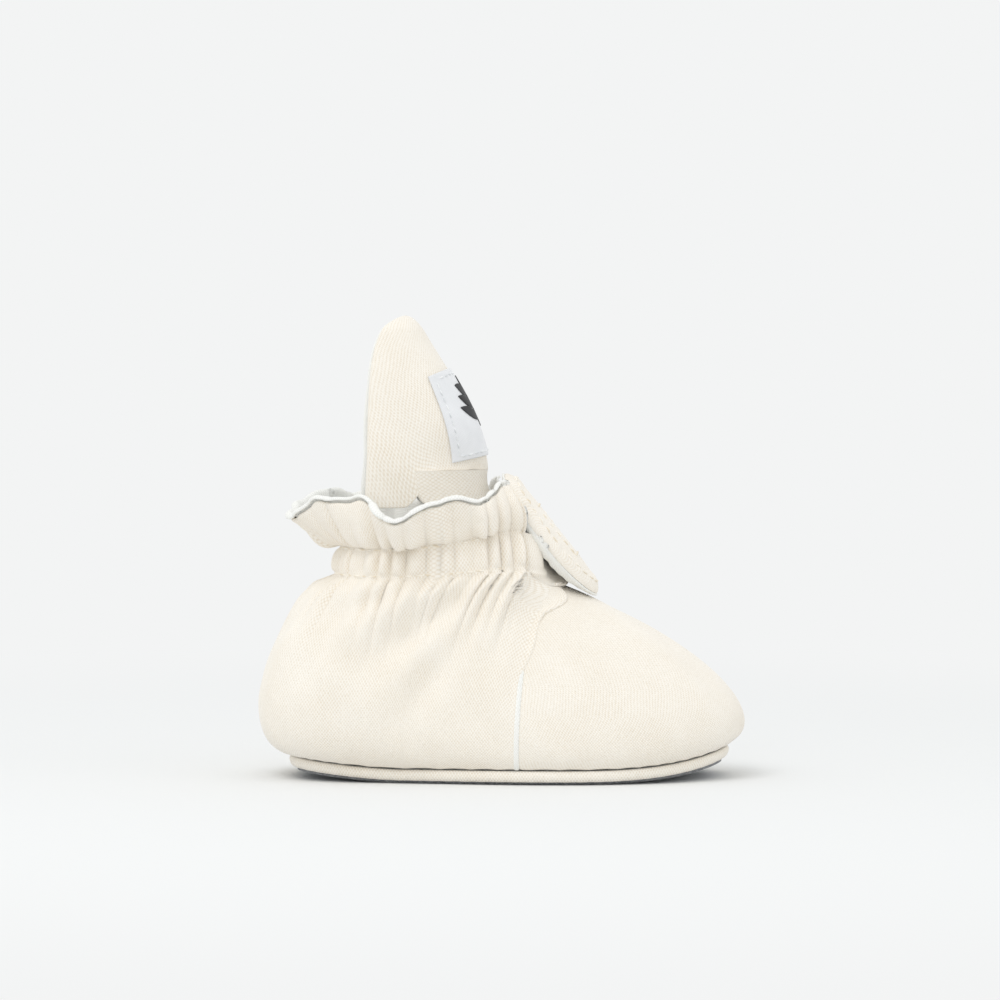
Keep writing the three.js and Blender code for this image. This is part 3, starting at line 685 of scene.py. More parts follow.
@dataclass(frozen=True)
class Last:
    """The shape that the bootie is sewn to: the sole's outline, the ankle ring and the surface between."""

    toe_x: float = 54.5
    heel_x: float = -51.5
    ball_x: float = 12.0
    heel_seat_x: float = -30.0
    ball_half_width: float = 26.5
    heel_half_width: float = 22.5
    flat_from: float = -25.0  # the sole lies flat between these
    flat_to: float = 14.0
    toe_spring: float = 4.2  # how far the sole rises at its ends
    heel_spring: float = 2.2
    upper_from: float = 3.6  # the height of the upper's seam above the sole's underside
    ankle_x: float = -16.0
    ankle_back: float = 24.5  # how far the ankle ring reaches from ankle_x
    ankle_front: float = 29.0
    ankle_half_width: float = 20.0
    back_height: float = 49.0  # of the band's lower edge at the heel
    front_rise: float = 2.2
    throat_drop: float = 3.9
    band_back: float = 7.4  # the band's height
    band_front: float = 9.6
    band_end: float = math.radians(47)  # where the band ends, each side of the front
    cinch: float = 1.6  # how much smaller the ring is at the band's upper edge
    seam_angle: float = math.radians(98)  # of a side seam at the sole, and at the ring below
    seam_top: float = math.radians(30)
    corner_stand: float = 2.6  # how far the quarter's full front corner stands out
    toe: Stand = Stand(12.5, 4.2, -0.5, 16)
    side: Stand = Stand(6.5, 6, -3.5, 11)
    heel: Stand = Stand(14.5, 0.3, 8.8, 12)

    @property
    def shift(self) -> float:
        """Where the CAD frame moved the last along X."""
        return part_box("sole_edge_band")[1].x / MM - self.toe_x

    def outline(self, angle: Array, inset: float | Array = 0.0) -> Array:
        """Returns points of the sole's seam line, from the toe round the near side, moved inwards."""
        step = 1e-3
        ahead, behind = self._outline(angle + step), self._outline(angle - step)
        along = unit(ahead - behind)
        inward = xyz(along[:, 1], -along[:, 0], 0)
        return self._outline(angle) + inward * np.asarray(inset)[..., None]

    def _outline(self, angle: Array) -> Array:
        """Returns points of the seam line itself."""
        c = np.cos(angle)
        reach = np.where(c > 0, self.toe_x - self.ball_x, self.ball_x - self.heel_x)
        fullness = np.where(c > 0, 2.2, 3.4)
        x = self.ball_x + reach * c
        half = lerp(self.heel_half_width, self.ball_half_width, smoothstep(x, self.heel_seat_x, self.ball_x))
        round_off = (1 - np.abs(c) ** fullness) ** (1 / fullness)
        return xyz(x + self.shift, -half * np.sign(np.sin(angle)) * round_off, 0)

    def rise(self, x: Array) -> Array:
        """Returns the height of the sole's underside at x."""
        x = x - self.shift
        toe = np.clip((x - self.flat_to) / (self.toe_x - self.flat_to), 0, None) ** 3
        heel = np.clip((self.flat_from - x) / (self.flat_from - self.heel_x), 0, None) ** 1.5
        return self.toe_spring * toe + self.heel_spring * heel

    def ring(self, angle: Array, level: Array | float) -> Array:
        """Returns points of the gathered band, from its lower (0) to its upper (1) stitch line."""
        c, s = np.cos(angle), np.sin(angle)
        reach = np.where(c > 0, self.ankle_front, self.ankle_back) - np.asarray(level) * self.cinch
        x = self.ankle_x + reach * signed_power(c, 0.7) + self.shift
        y = -(self.ankle_half_width - np.asarray(level) * self.cinch) * signed_power(s, 0.85)
        forward = smoothstep(c, -0.3, 0.6)
        lower = self.back_height + self.front_rise * forward - smoothstep(c, 0.62, 0.88) * self.throat_drop
        return xyz(x, y, lower + level * lerp(self.band_back, self.band_front, forward))

    def outward(self, angle: Array) -> Array:
        """Returns unit vectors that point level and away from the ankle ring."""
        step = 2e-3
        along = (self.ring(angle + step, 0) - self.ring(angle - step, 0)) * [1, 1, 0]
        return unit(np.cross(along, [0.0, 0.0, -1.0]))

    def top_angle(self, angle: Array) -> Array:
        """Returns the ring angle that a meridian reaches, from its angle at the sole."""
        angle = np.where(angle > math.pi, angle - 2 * math.pi, angle)
        a = np.abs(angle)
        share = (np.clip(a - self.seam_angle, 0, None) / (math.pi - self.seam_angle)) ** 0.8
        behind = lerp(self.seam_top, math.pi, share)
        return np.sign(angle) * np.where(a < self.seam_angle, self.seam_top * a / self.seam_angle, behind)

    def meridian(self, angle: Array, v: Array) -> Array:
        """Returns points of the upper from the sole (v = 0) to the ankle ring (v = 1)."""
        angle = np.where(angle > math.pi, angle - 2 * math.pi, angle)
        foot = self.outline(angle)
        foot[:, 2] = self.rise(foot[:, 0]) + self.upper_from
        top = self.ring(self.top_angle(angle), 0)
        out = (self.outline(angle, -1.0) - self.outline(angle)) * [1, 1, 0]
        toe = np.clip(np.cos(angle), 0, None) ** 1.5
        heel = np.clip(-np.cos(angle), 0, None) ** 1.5

        def mix(key: str) -> Array:
            """Returns a stand value for each direction."""
            parts = (getattr(self.toe, key), getattr(self.heel, key), getattr(self.side, key))
            return toe * parts[0] + heel * parts[1] + (1 - toe - heel) * parts[2]

        low = foot + out * mix("low")[:, None] + xyz(0, 0, mix("low_up"))
        high = foot + out * mix("high")[:, None]
        high[:, 2] = top[:, 2] - mix("high_down")
        return bezier(foot, low, high, top, v)

    def front_corner(self, angle: Array, level: Array) -> Array:
        """Returns how the cloth's full front corner, below the end of the band, stands off the last.

        Args:
            angle: Ring angles.
            level: Shares of the band's height above its lower edge; below 0 on the quarter.
        """
        side = np.where(np.sin(angle) < 0, -1.0, 1.0)
        tall = smoothstep(level, -1.1, -0.1) * (1 - smoothstep(level, 0.0, 0.8))
        size = self.corner_stand * smoothstep(np.cos(angle), 0.70, 0.93) * tall
        return xyz(1.0, -0.45 * side, -0.15) * size[:, None]

    def even(self, start: float, end: float, levels: Sequence[float] = (0.1, 0.6, 0.97)) -> Line:
        """Returns angles for even shares of the way round the upper between two angles."""
        angles = np.linspace(start, end, 2001)
        total = np.zeros(2001)
        for level in levels:
            length = run(self.meridian(angles, np.full(2001, level)))
            total += length / length[-1]
        return lambda share: np.interp(share, total / len(levels), angles)


LOWER_ROW, UPPER_ROW = 0.09, 0.94  # the band's rows of stitches, as shares of its height
UPPER_LENGTH = 47.0  # a meridian's length, near enough for the folds that fade down it


@dataclass
class Gathers:
    """The pleats that the elastic draws the cloth into, the same for every layer that it passes through."""

    last: Last
    pitch: float = 3.9
    front_pitch: float = 2.7  # they stand closer near the band's front ends
    table: tuple[Array, Array] = field(init=False)

    def __post_init__(self) -> None:
        """Counts the pleats round the ring."""
        angles = np.linspace(0, 2 * math.pi, 4001)
        line = self.last.ring(angles, 0.5)
        step = np.linalg.norm(np.diff(line, axis=0), axis=1)
        near_front = smoothstep(np.cos(angles[1:]), 0.2, 0.62)
        pitch = lerp(self.pitch, self.front_pitch, near_front)
        self.table = angles, np.concatenate([[0], np.cumsum(step / pitch)])

    def count(self, angle: Array) -> Array:
        """Returns how many pleats lie before a ring angle, unevenly spaced as a gathered edge is."""
        number = np.interp(np.mod(angle, 2 * math.pi), *self.table)
        return number + 0.16 * np.sin(1.9 * number + 0.7) + 0.05 * np.sin(4.3 * number)

    def ridge(self, angle: Array) -> Array:
        """Returns the pleats' height, 0 in a valley to about 1 on a ridge."""
        number = self.count(angle)
        size = 0.78 + 0.22 * np.sin(0.83 * number + 1.0) + 0.18 * np.sin(2.7 * number)
        held = 1 - smoothstep(np.cos(angle), 0.66, 0.76)
        return size * held * np.abs(np.sin(math.pi * number)) ** 0.8

    def pleat(self, angle: Array, level: Array) -> Array:
        """Returns how far the pleats stand out.

        Args:
            angle: Ring angles.
            level: Shares of the band's height above its lower edge; below 0 on the quarter.
        """
        reach = smoothstep(level, -2.4, -0.25) * (1 - smoothstep(level, 1.15, 2.6))
        held = 1 - 0.5 * bump(level, LOWER_ROW, 0.085) - 0.5 * bump(level, UPPER_ROW, 0.085)
        full = 1.0 + 0.3 * bump(level, 0.5, 0.3)
        return (self.ridge(angle) * 2.1 - 0.6) * reach * held * full

    def fullness(self, level: Array) -> Array:
        """Returns how far the band swells out between its two rows of stitches."""
        return 0.45 * np.clip(np.sin(math.pi * (level - LOWER_ROW) / (UPPER_ROW - LOWER_ROW)), 0, 1)

    def broad(self, angle: Array) -> Array:
        """Returns the softer folds that two or three pleats run into, about -1 to 1."""
        number = self.count(angle)
        held = 1 - smoothstep(np.cos(angle), 0.6, 0.85)
        return held * (0.6 * np.sin(math.pi * number * 0.8 + 1) + 0.4 * np.sin(math.pi * number * 0.46))


@dataclass(frozen=True)
class Drag:
    """A soft valley that the elastic pulls across one side of the quarter."""

    start: tuple[float, float]  # (x, z)
    end: tuple[float, float]
    width: float
    depth: float
    side: int = -1  # -1 is the near side, +1 the far side

    def press(self, p: Array) -> Array:
        """Returns how far the valley and the swelling beside it move points outwards."""
        a, b = np.array(self.start), np.array(self.end)
        here = p[:, [0, 2]] - a
        length = np.linalg.norm(b - a)
        way = (b - a) / length
        t = here @ way / length
        off = here @ np.array([way[1], -way[0]])
        fade = smoothstep(t, -0.05, 0.25) * (1 - smoothstep(t, 0.55, 1.1))
        on_side = smoothstep(p[:, 1] * self.side, 3, 9)
        spread = self.width * (1 + 0.8 * np.clip(t, 0, 1))
        valley = -np.exp(-((off / spread) ** 2)) + 0.6 * np.exp(-(((off - 1.9 * spread) / spread) ** 2))
        return self.depth * valley * fade * on_side


# ---- sub-assemblies -------------------------------------------------------------------------------------


@dataclass
class Sole:
    """The soft sole: a gripping outsole, a jersey edge band, a pad and the insole's lining."""

    last: Last
    outsole: float = 1.2
    band_depth: float = 3.9
    band_thickness: float = 1.5
    band_low: float = 0.45
    tuck: float = 1.3  # how far the outsole stays inside the edge band
    padding: float = 3.0
    lining: float = 0.8
    end_angle: float = math.radians(4)

    def rows(self, inset: float, level: float) -> Surface:
        """Returns a sole-shaped surface, from heel to toe and across, at a level above the underside."""
        angles = np.linspace(math.pi - self.end_angle, self.end_angle, 1001)
        edge = self.last.outline(angles, inset)
        length = run(edge)

        def surface(u: Array, v: Array) -> Array:
            """Returns points of the surface."""
            angle = np.interp(u, length / length[-1], angles)
            edge = self.last.outline(angle, inset)
            return xyz(edge[:, 0], lerp(-edge[:, 1], edge[:, 1], v), self.last.rise(edge[:, 0]) + level)

        return surface

    def edge(self, u: Array, v: Array) -> Array:
        """Returns the edge band's outer face: slightly full, and puckered by its seam."""
        angle = self.even(u)
        full = 0.7 * np.sin(math.pi * np.clip(v, 0, 1)) + 0.1 * np.sin(u * 2 * math.pi * 66) * (1 - v)
        p = self.last.outline(angle, -full)
        p[:, 2] = self.last.rise(p[:, 0]) + lerp(self.band_low, self.last.upper_from + 0.15, v)
        return p

    def build(self) -> None:
        """Makes the sole's four pieces."""
        self.even = self.last.even(0, 2 * math.pi, levels=(0.0,))
        outsole = cloth("outsole_cloth", self.rows(self.tuck, self.outsole), (120, 16), (0, self.outsole))
        dress(outsole, Kind(GRIP_CLOTH, "grip_cloth", held=Held.STRETCHED), "outsole")
        band = cloth("sole_edge_band_cloth", self.edge, (420, 8), (0, self.band_thickness), closed=True)
        dress(band, OUTER, "sole_edge_band")
        inset = self.band_depth + CLEARANCE
        top = self.outsole + CLEARANCE + self.padding
        pad = cloth("sole_pad", self.rows(inset, top), (60, 12), (0, self.padding))
        dress(pad, PAD, "sole_padding")
        top += CLEARANCE + self.lining
        insole = cloth("insole_lining_cloth", self.rows(inset, top), (80, 16), (0, self.lining))
        dress(insole, LINING, "insole_lining")


@dataclass
class Upper:
    """The padded vamp over the toes and the quarter that wraps round the heel."""

    last: Last
    gathers: Gathers
    outer: float = 0.9
    lining: float = 0.8
    padding: float = 1.2
    seam_half: float = 0.55
    edge_reach: float = 2.9  # how far the turned edge reaches to each side, in seam halves
    drags: tuple[Drag, ...] = (
        Drag((-4.0, 48.5), (-36.0, 27.0), 2.7, 2.5),
        Drag((-22.0, 47.0), (-46.0, 38.0), 2.2, 1.5),
        Drag((0.5, 49.0), (-27.0, 11.0), 2.4, 1.5),
        Drag((3.8, 46.0), (-6.0, 24.0), 2.2, 0.8),
        Drag((-38.0, 46.0), (-50.0, 22.0), 2.2, 1.1),
        Drag((-1.0, 48.5), (-38.0, 24.0), 2.8, 2.2, side=1),
        Drag((-18.0, 47.5), (-44.0, 36.0), 2.3, 1.5, side=1),
        Drag((3.0, 48.0), (-16.0, 14.0), 2.3, 1.5, side=1),
    )

    @property
    def gap(self) -> float:
        """The angle that half the seam's edge takes, just behind the ball of the foot."""
        return self.seam_half / (self.last.ball_x - self.last.heel_x)

    def shaped(self, angle: Array, v: Array, soften: float = 1.0) -> Array:
        """Returns points of the upper with its pleats, folds and hollows.

        Args:
            angle: The meridians' angles at the sole.
            v: Shares of the way up them.
            soften: How much of the pleats the layer keeps.
        """
        p = self.last.meridian(angle, v)
        step = 1e-3
        away = self.last.meridian(angle + step, np.minimum(v, 1 - step))
        here = self.last.meridian(angle, np.minimum(v, 1 - step))
        up = self.last.meridian(angle, np.minimum(v, 1 - step) + step)
        ring_angle = self.last.top_angle(angle)
        near_top = smoothstep(v, 0.86, 1.0)[:, None]
        out = unit(lerp(-unit(np.cross(away - here, up - here)), self.last.outward(ring_angle), near_top))
        below = (1 - v) * UPPER_LENGTH
        pleat = self.gathers.pleat(ring_angle, -below / 8.5)
        broad = self.gathers.broad(ring_angle) * 0.8 * smoothstep(below, 1, 7) * np.exp(-below / 13)
        behind = 1 - smoothstep(np.cos(ring_angle), 0.66, 0.8)
        puff = 1.7 * (np.exp(-below / 8) - np.exp(-below / 3.2)) * behind
        soft = 0.26 * lumps(p, 17.0) + 0.1 * lumps(p, 7.0, 2.0)
        drag = sum(fold.press(p) for fold in self.drags)
        hem = 0.22 * np.abs(np.sin(angle * 23 + 0.8 * np.sin(angle * 7))) * np.exp(-v * 22)
        free = smoothstep(v, 0, 0.1) * (1 - smoothstep(v, 0.93, 1.0))
        move = soften * (pleat + broad + puff + drag * (1 - near_top[:, 0])) + soft * free - hem
        return p + out * move[:, None]

    def quarter(self, soften: float = 1.0) -> Surface:
        """Returns the quarter's surface, whose front edges lap over the seam towards the top."""
        gap, start = self.gap, self.last.seam_angle + 2 * self.gap
        even = self.last.even(start, 2 * math.pi - start)

        def surface(u: Array, v: Array) -> Array:
            """Returns points of the quarter."""
            lap = gap * lerp(1.2, 5.0, smoothstep(v, 0.5, 0.7)) + 0.5 * smoothstep(v, 0.84, 1.0)
            angle = even(u) - lap * np.exp(-u * 26) + lap * np.exp(-(1 - u) * 26)
            p = self.shaped(angle, v, soften)
            rolled = np.exp(-np.minimum(u, 1 - u) * 110) * (0.3 + 1.0 * smoothstep(v, 0.5, 0.75))
            ring_angle = self.last.top_angle(angle)
            p = p + self.last.outward(ring_angle) * (rolled * (1 - smoothstep(v, 0.9, 1.0)))[:, None]
            return p + self.last.front_corner(ring_angle, (v - 1) * 5.0)

        return surface

    def vamp(self) -> Surface:
        """Returns the vamp's surface, which runs on under the quarter's edges."""
        end = self.last.seam_angle - self.gap
        even = self.last.even(-end, end, levels=(0.05, 0.5, 0.9))

        def surface(u: Array, v: Array) -> Array:
            """Returns points of the vamp."""
            angle = even(u)
            p = self.shaped(angle, v, 0.0)
            near = 1 - np.abs(2 * u - 1)
            held = smoothstep(near, 0.0, 0.03) * (1 - smoothstep(near, 0.08, 0.3))
            crease = -0.9 * bump(v, 0.83, 0.035) * held
            puff = 0.7 * bump(v, 0.9, 0.05) * (1 - smoothstep(near, 0.2, 0.7))
            return p + xyz(0, 0, crease + puff * 0.6)

        return surface

    def seam_edge(self, angle: float) -> Surface:
        """Returns the lining's turned edge in a side seam, whose sides go in under the two parts."""
        wide = self.edge_reach * self.gap

        def line(u: Array, v: Array) -> Array:
            """Returns points of the seam's ground."""
            return self.shaped(lerp(angle - wide, angle + wide, u), v * 0.62, 0.0)

        def surface(u: Array, v: Array) -> Array:
            """Returns points of the turned edge."""
            return laid(line, u, v, 1.3 * smoothstep(np.abs(2 * u - 1), 0.26, 0.5))

        return surface

    def build(self) -> None:
        """Makes the vamp, the quarter and the white edges between them."""
        levels = stack(self.outer, self.padding, self.lining)
        vamp = self.vamp()
        dress(cloth("vamp_outer_cloth", vamp, (200, 56), levels[0], tapered=True), OUTER, "vamp_outer")
        dress(cloth("vamp_pad", vamp, (90, 26), levels[1]), PAD, "vamp_padding")
        dress(cloth("vamp_lining_cloth", vamp, (90, 26), levels[2]), LINING, "vamp_lining")
        outer = cloth("quarter_outer_cloth", self.quarter(), (420, 72), levels[0], square="t")
        dress(outer, OUTER, "quarter_outer")
        start = self.outer + CLEARANCE
        lining = cloth("quarter_lining_cloth", self.quarter(0.8), (300, 30), (start, start + self.lining))
        dress(lining, LINING, "quarter_lining")
        for side, angle in (("near", self.last.seam_angle), ("far", 2 * math.pi - self.last.seam_angle)):
            edge = cloth(f"side_seam_edge_{side}_cloth", self.seam_edge(angle), (16, 60), (-0.22, 0.3))
            dress(edge, LINING, f"side_seam_edge_{side}")


@dataclass
class AnkleBand:
    """The gathered band: jersey outside, elastic, lining, and two rows of stitches."""

    last: Last
    gathers: Gathers
    outer: float = 0.9
    elastic: float = 0.9
    lining: float = 0.8
    row_end: float = 0.985

    def surface(self, soften: float = 1.0, over: float = 0.0) -> Surface:
        """Returns the band's surface: pleats that stand full between the two rows of stitches.

        Args:
            soften: How much of the pleats the layer keeps.
            over: How far it runs past its neighbours, behind them, as a share of its height.
        """

        def place(u: Array, v: Array) -> Array:
            """Returns points of the band."""
            angle = lerp(self.last.band_end, 2 * math.pi - self.last.band_end, u)
            v = lerp(-over, 1 + over, v)
            move = soften * self.gathers.pleat(angle, v) + self.gathers.fullness(v)
            return self.last.ring(angle, v) + self.last.outward(angle) * move[:, None]

        return place

    def stitches(self, name: str, level: float, node: str) -> None:
        """Sews a row of stitches round the band, pulled into the pleats."""
        surface = self.surface(0.95)

        def line(share: Array) -> Array:
            """Returns points of the row."""
            return surface(share * self.row_end + 0.004, np.full(len(share), level))

        def lift(share: Array) -> Array:
            """Returns which way is off the band."""
            return self.last.outward(lerp(self.last.band_end, 2 * math.pi - self.last.band_end, share))

        dress(Seam(pitch=2.6, length=2.0, radius=0.2, sink=0.0).sew(name, line, lift), SEWN, node)

    def build(self) -> None:
        """Makes the band's layers and its stitches."""
        levels = stack(self.outer, self.elastic, self.lining, clearance=0.2)
        outside = self.surface(over=0.05)
        outer = cloth("gathered_band_outer_cloth", outside, (460, 20), levels[0], square="lrbt")
        dress(outer, GATHERED, "gathered_band_outer")
        inside = part_of(self.surface(0.5), u=(0.02, 0.98), v=(0.16, 0.88))
        elastic = cloth("ankle_elastic_strip", inside, (160, 6), levels[1])
        dress(elastic, Kind(ELASTIC_BRAID, "elastic", held=Held.STRETCHED), "ankle_elastic")
        lining = cloth("gathered_band_lining_cloth", self.surface(0.5, over=0.1), (320, 12), levels[2])
        dress(lining, GATHERED_LINING, "gathered_band_lining")
        self.stitches("band_stitch_lower_thread", LOWER_ROW, "band_stitch_lower")
        self.stitches("band_stitch_upper_thread", UPPER_ROW, "band_stitch_upper")


@dataclass
class Ruffle:
    """The flared frill above the band, jersey outside and lined in white."""

    last: Last
    gathers: Gathers
    thickness: float = 1.1
    lining: float = 0.8
    roll_gap: float = 0.15
    roll_from: float = 0.88
    roll_turn: float = math.radians(130)
    near_end: float = math.radians(46)
    far_end: float = math.radians(58)
    # Ring angle, how far the rim stands out and back, and its height above the upper stitch line.
    rim: tuple[tuple[float, float, float, float], ...] = (
        (20, 0.5, -4.0, 11.5),
        (47, 0.8, -4.0, 12.0),
        (60, 2.8, -2.6, 10.0),
        (72, 5.5, -1.4, 8.0),
        (86, 7.6, -1.0, 9.6),
        (99, 9.2, 0.0, 6.6),
        (110, 8.4, 0.0, 7.0),
        (121, 5.2, -0.6, 11.0),
        (136, 6.0, -1.0, 11.2),
        (150, 7.6, -1.6, 10.6),
        (165, 9.6, -2.4, 7.2),
        (180, 11.4, -1.2, 6.6),
        (195, 10.4, -0.6, 9.6),
        (211, 7.6, 0.0, 11.6),
        (228, 5.6, 0.0, 10.8),
        (243, 7.8, 0.0, 11.0),
        (258, 8.6, 0.0, 7.4),
        (274, 6.2, -0.5, 10.6),
        (288, 5.2, -2.0, 8.4),
        (302, 2.4, -3.0, 10.6),
        (330, 0.6, -4.0, 11.5),
    )

    def surface(self, u: Array, v: Array, lobes: float = 1.0) -> Array:
        """Returns points of the ruffle, from the upper stitch line (v = 0) to the rim (v = 1).

        Args:
            u: Shares of the way round.
            v: Shares of the way up.
            lobes: How much the gathers hang over the row of stitches.
        """
        angle = lerp(self.near_end, 2 * math.pi - self.far_end, u)
        turn = np.degrees(angle)
        out, back, rise = (smooth_keys(turn, self.rim, column) for column in (1, 2, 3))
        front = smoothstep(np.cos(angle), 0.25, 0.68)
        belly = lerp(1.3, 2.4, front) * np.sin(math.pi * np.clip(v, 0, 1.05))
        across = out * lerp(v**1.15, v, front) + belly + self.gathers.pleat(angle, 1 + v * 0.9)
        broad = self.gathers.broad(angle) * (1 - front)
        across += broad * 1.3 * np.sin(math.pi * np.clip(v, 0, 1))
        lobe = lobes * (self.gathers.ridge(angle) * (1 - front) * 0.9 + 1.5 * np.clip(broad, 0, 1))
        up = rise * lerp(0.7 * v + 0.3 * v**2.0, v, front) - lobe * np.sin(math.pi * np.clip(v * 1.9, 0, 1))
        p = self.last.ring(angle, 1.0) + self.last.outward(angle) * across[:, None]
        wander = 0.35 * np.sin(turn * 0.21 + 1.0) * v + 0.2 * np.sin(turn * 0.47) * v
        return p + xyz(back * v**1.3, 0, up + wander)

    def calm(self, u: Array, v: Array) -> Array:
        """Returns points of the ruffle as the lining has it, with no lobes over the stitches."""
        return self.surface(u, v, 0.0)

    def roll(self, u: Array, v: Array) -> Array:
        """Returns the lining's surface, which rolls over the outer layer's rim past roll_from."""
        share = np.minimum(v, self.roll_from) / self.roll_from
        inward = normal(self.calm, u, share)
        onward = unit(self.surface(u, np.full_like(u, 1.0)) - self.surface(u, np.full_like(u, 0.98)))
        tilt = (np.clip((v - self.roll_from) / (1 - self.roll_from), 0, 1) * self.roll_turn)[:, None]
        middle = self.calm(u, share) + inward * self.thickness / 2
        reach = self.thickness / 2 + self.roll_gap
        return middle + (inward * np.cos(tilt) + onward * np.sin(tilt)) * reach

    def build(self) -> None:
        """Makes the ruffle's two layers."""
        outer = cloth("ruffle_outer_cloth", self.surface, (440, 24), (0, self.thickness), square="b")
        dress(outer, GATHERED, "ruffle_outer")
        lining = cloth("ruffle_lining_cloth", self.roll, (420, 40), (0, self.lining))
        dress(lining, GATHERED_LINING, "ruffle_lining")


@dataclass
class Closure:
    """The front: an underlap from the near side and a padded tab from the far side that lies over it."""

    last: Last
    gathers: Gathers
    slant: float = math.radians(37.8)
    above_throat: float = 1.3
    cloth_outer: float = 0.9
    cloth_lining: float = 0.8
    patch: float = 0.9
    patch_height: float = 14.0
    patch_low: float = 3.0  # above the throat
    patch_near: float = -5.0
    patch_far: float = 7.0
    tab_padding: float = 2.0
    tab_lining: float = 0.9
    half_height: float = 18.4
    root_half_height: float = 14.5
    tab_above_throat: float = 10.3
    topstitch_inset: float = 2.2
    roundness: float = 2.2  # the power of the oval that the tab's end follows
    rounding_y: float = -1.0
    crown_y: float = 1.0
    bend: float = 40.0
    underlap_bend: float = 60.0

    def __post_init__(self) -> None:
        """Places everything from the throat and from the ends of the gathered band."""
        throat = self.last.ring(np.zeros(1), 0)[0] - [self.last.shift, 0, 0]
        c, k = math.cos(self.slant), math.sin(self.slant)
        self.throat_s = -throat[0] * k + throat[2] * c
        self.throat_q = throat[0] * c + throat[2] * k
        self.band_end_y = float(-self.last.ring(np.array([self.last.band_end]), 1)[0, 1])
        self.hinge_y = self.band_end_y - 1.25
        self.tab_end_y = -(self.band_end_y - 0.6)
        self.underlap_level = self.throat_q + self.above_throat
        self.loop_level = self.underlap_level + CLEARANCE + self.patch
        self.hook_level = self.loop_level + CLEARANCE + self.patch
        self.tab_thickness = self.cloth_outer + self.tab_padding + self.tab_lining + 2 * CLEARANCE
        self.tab_level = self.hook_level + CLEARANCE + self.tab_thickness
        self.tab_s = self.throat_s + self.tab_above_throat

    def slanted(self, s: Array, y: Array, q: Array) -> Array:
        """Returns points of the slanted front: s up the slant, y across it, q off it."""
        c, k = math.cos(self.slant), math.sin(self.slant)
        return xyz(q * c - s * k + self.last.shift, y, q * k + s * c)

    def bent(self, y: Array, radius: float) -> Array:
        """Returns how far the front falls away to its sides."""
        return (y - self.crown_y) ** 2 / (2 * radius)

    def corner(self, side: int, end: Line, rise: float) -> Surface:
        """Returns the cloth that runs from the band's front end round to the slanted front.

        Args:
            side: +1 on the near side, -1 on the far side.
            end: The line that it runs to, from shares of the way up.
            rise: How full its lower corner stands.
        """

        def surface(u: Array, v: Array) -> Array:
            """Returns points of the corner."""
            angle = side * lerp(math.radians(23), self.last.band_end, smoothstep(v, 0.0, 0.42))
            level = smoothstep(v, 0.38, 1.0)
            start = self.last.ring(angle, level) + self.last.front_corner(angle, level)
            full = self.gathers.fullness(level) + self.gathers.pleat(angle, level)
            start = start + self.last.outward(angle) * full[:, None]
            finish = end(v)
            reach = np.linalg.norm(finish - start, axis=1)[:, None]
            low = rise * np.exp(-((v / 0.4) ** 2))[:, None]
            onward = self.last.ring(angle - 0.01 * side, level) - self.last.ring(angle, level)
            ahead = unit(unit(onward) + [0.9, 0, 0]) * reach * 0.34 + xyz(0.5, -0.1 * side, 0.1) * low
            before = finish - xyz(0, 1.0 * side, 0) * reach * 0.34 + xyz(0.5, 0, 0.3) * low
            p = bezier(start, start + ahead, before, finish, u)
            soft = 0.2 * lumps(p, 9.0, 1.3)
            return p + self.last.outward(angle) * (soft * np.sin(math.pi * u))[:, None]

        return surface

    def underlap(self) -> Surface:
        """Returns the underlap's surface."""

        def end(v: Array) -> Array:
            """Returns the line that the underlap ends in, under the tab."""
            y = np.full(len(v), self.band_end_y - 6.1)
            s = self.throat_s + 1.4 + 17.5 * v
            return self.slanted(s, y, self.underlap_level - self.bent(y, self.underlap_bend))

        near = self.corner(1, end, 1.2)

        def surface(u: Array, v: Array) -> Array:
            """Returns points of the underlap, from under the tab back to the band's end."""
            u = 1 - u
            p = near(u, v)
            s = self.throat_s + 1.0 + 17.9 * v
            y = p[:, 1]
            flat = self.slanted(s, y, self.underlap_level - self.bent(y, self.underlap_bend))
            hold = smoothstep(u, 0.3, 0.75)[:, None]
            return lerp(p, flat, hold)

        return surface

    def patch_surface(self, level: float) -> Surface:
        """Returns a hook or loop patch's surface, bent like the tab."""

        def surface(u: Array, v: Array) -> Array:
            """Returns points of the patch."""
            y = lerp(self.patch_near, self.patch_far, u)
            s = self.throat_s + self.patch_low + self.patch_height * v
            return self.slanted(s, y, level - self.bent(y, self.bend))

        return surface

    def tab_round(self, y: Array) -> Array:
        """Returns how far round the tab's end y lies, 0 to 1."""
        return np.clip((self.rounding_y - y) / (self.rounding_y - self.tab_end_y), 0, 1)

    def tab_half(self, y: Array) -> Array:
        """Returns half the tab's height along the slant."""
        grown = lerp(self.half_height, self.root_half_height, smoothstep(y, self.rounding_y, self.hinge_y))
        oval = (1 - self.tab_round(y) ** self.roundness) ** (1 / self.roundness)
        return np.maximum(1.4, grown * oval)

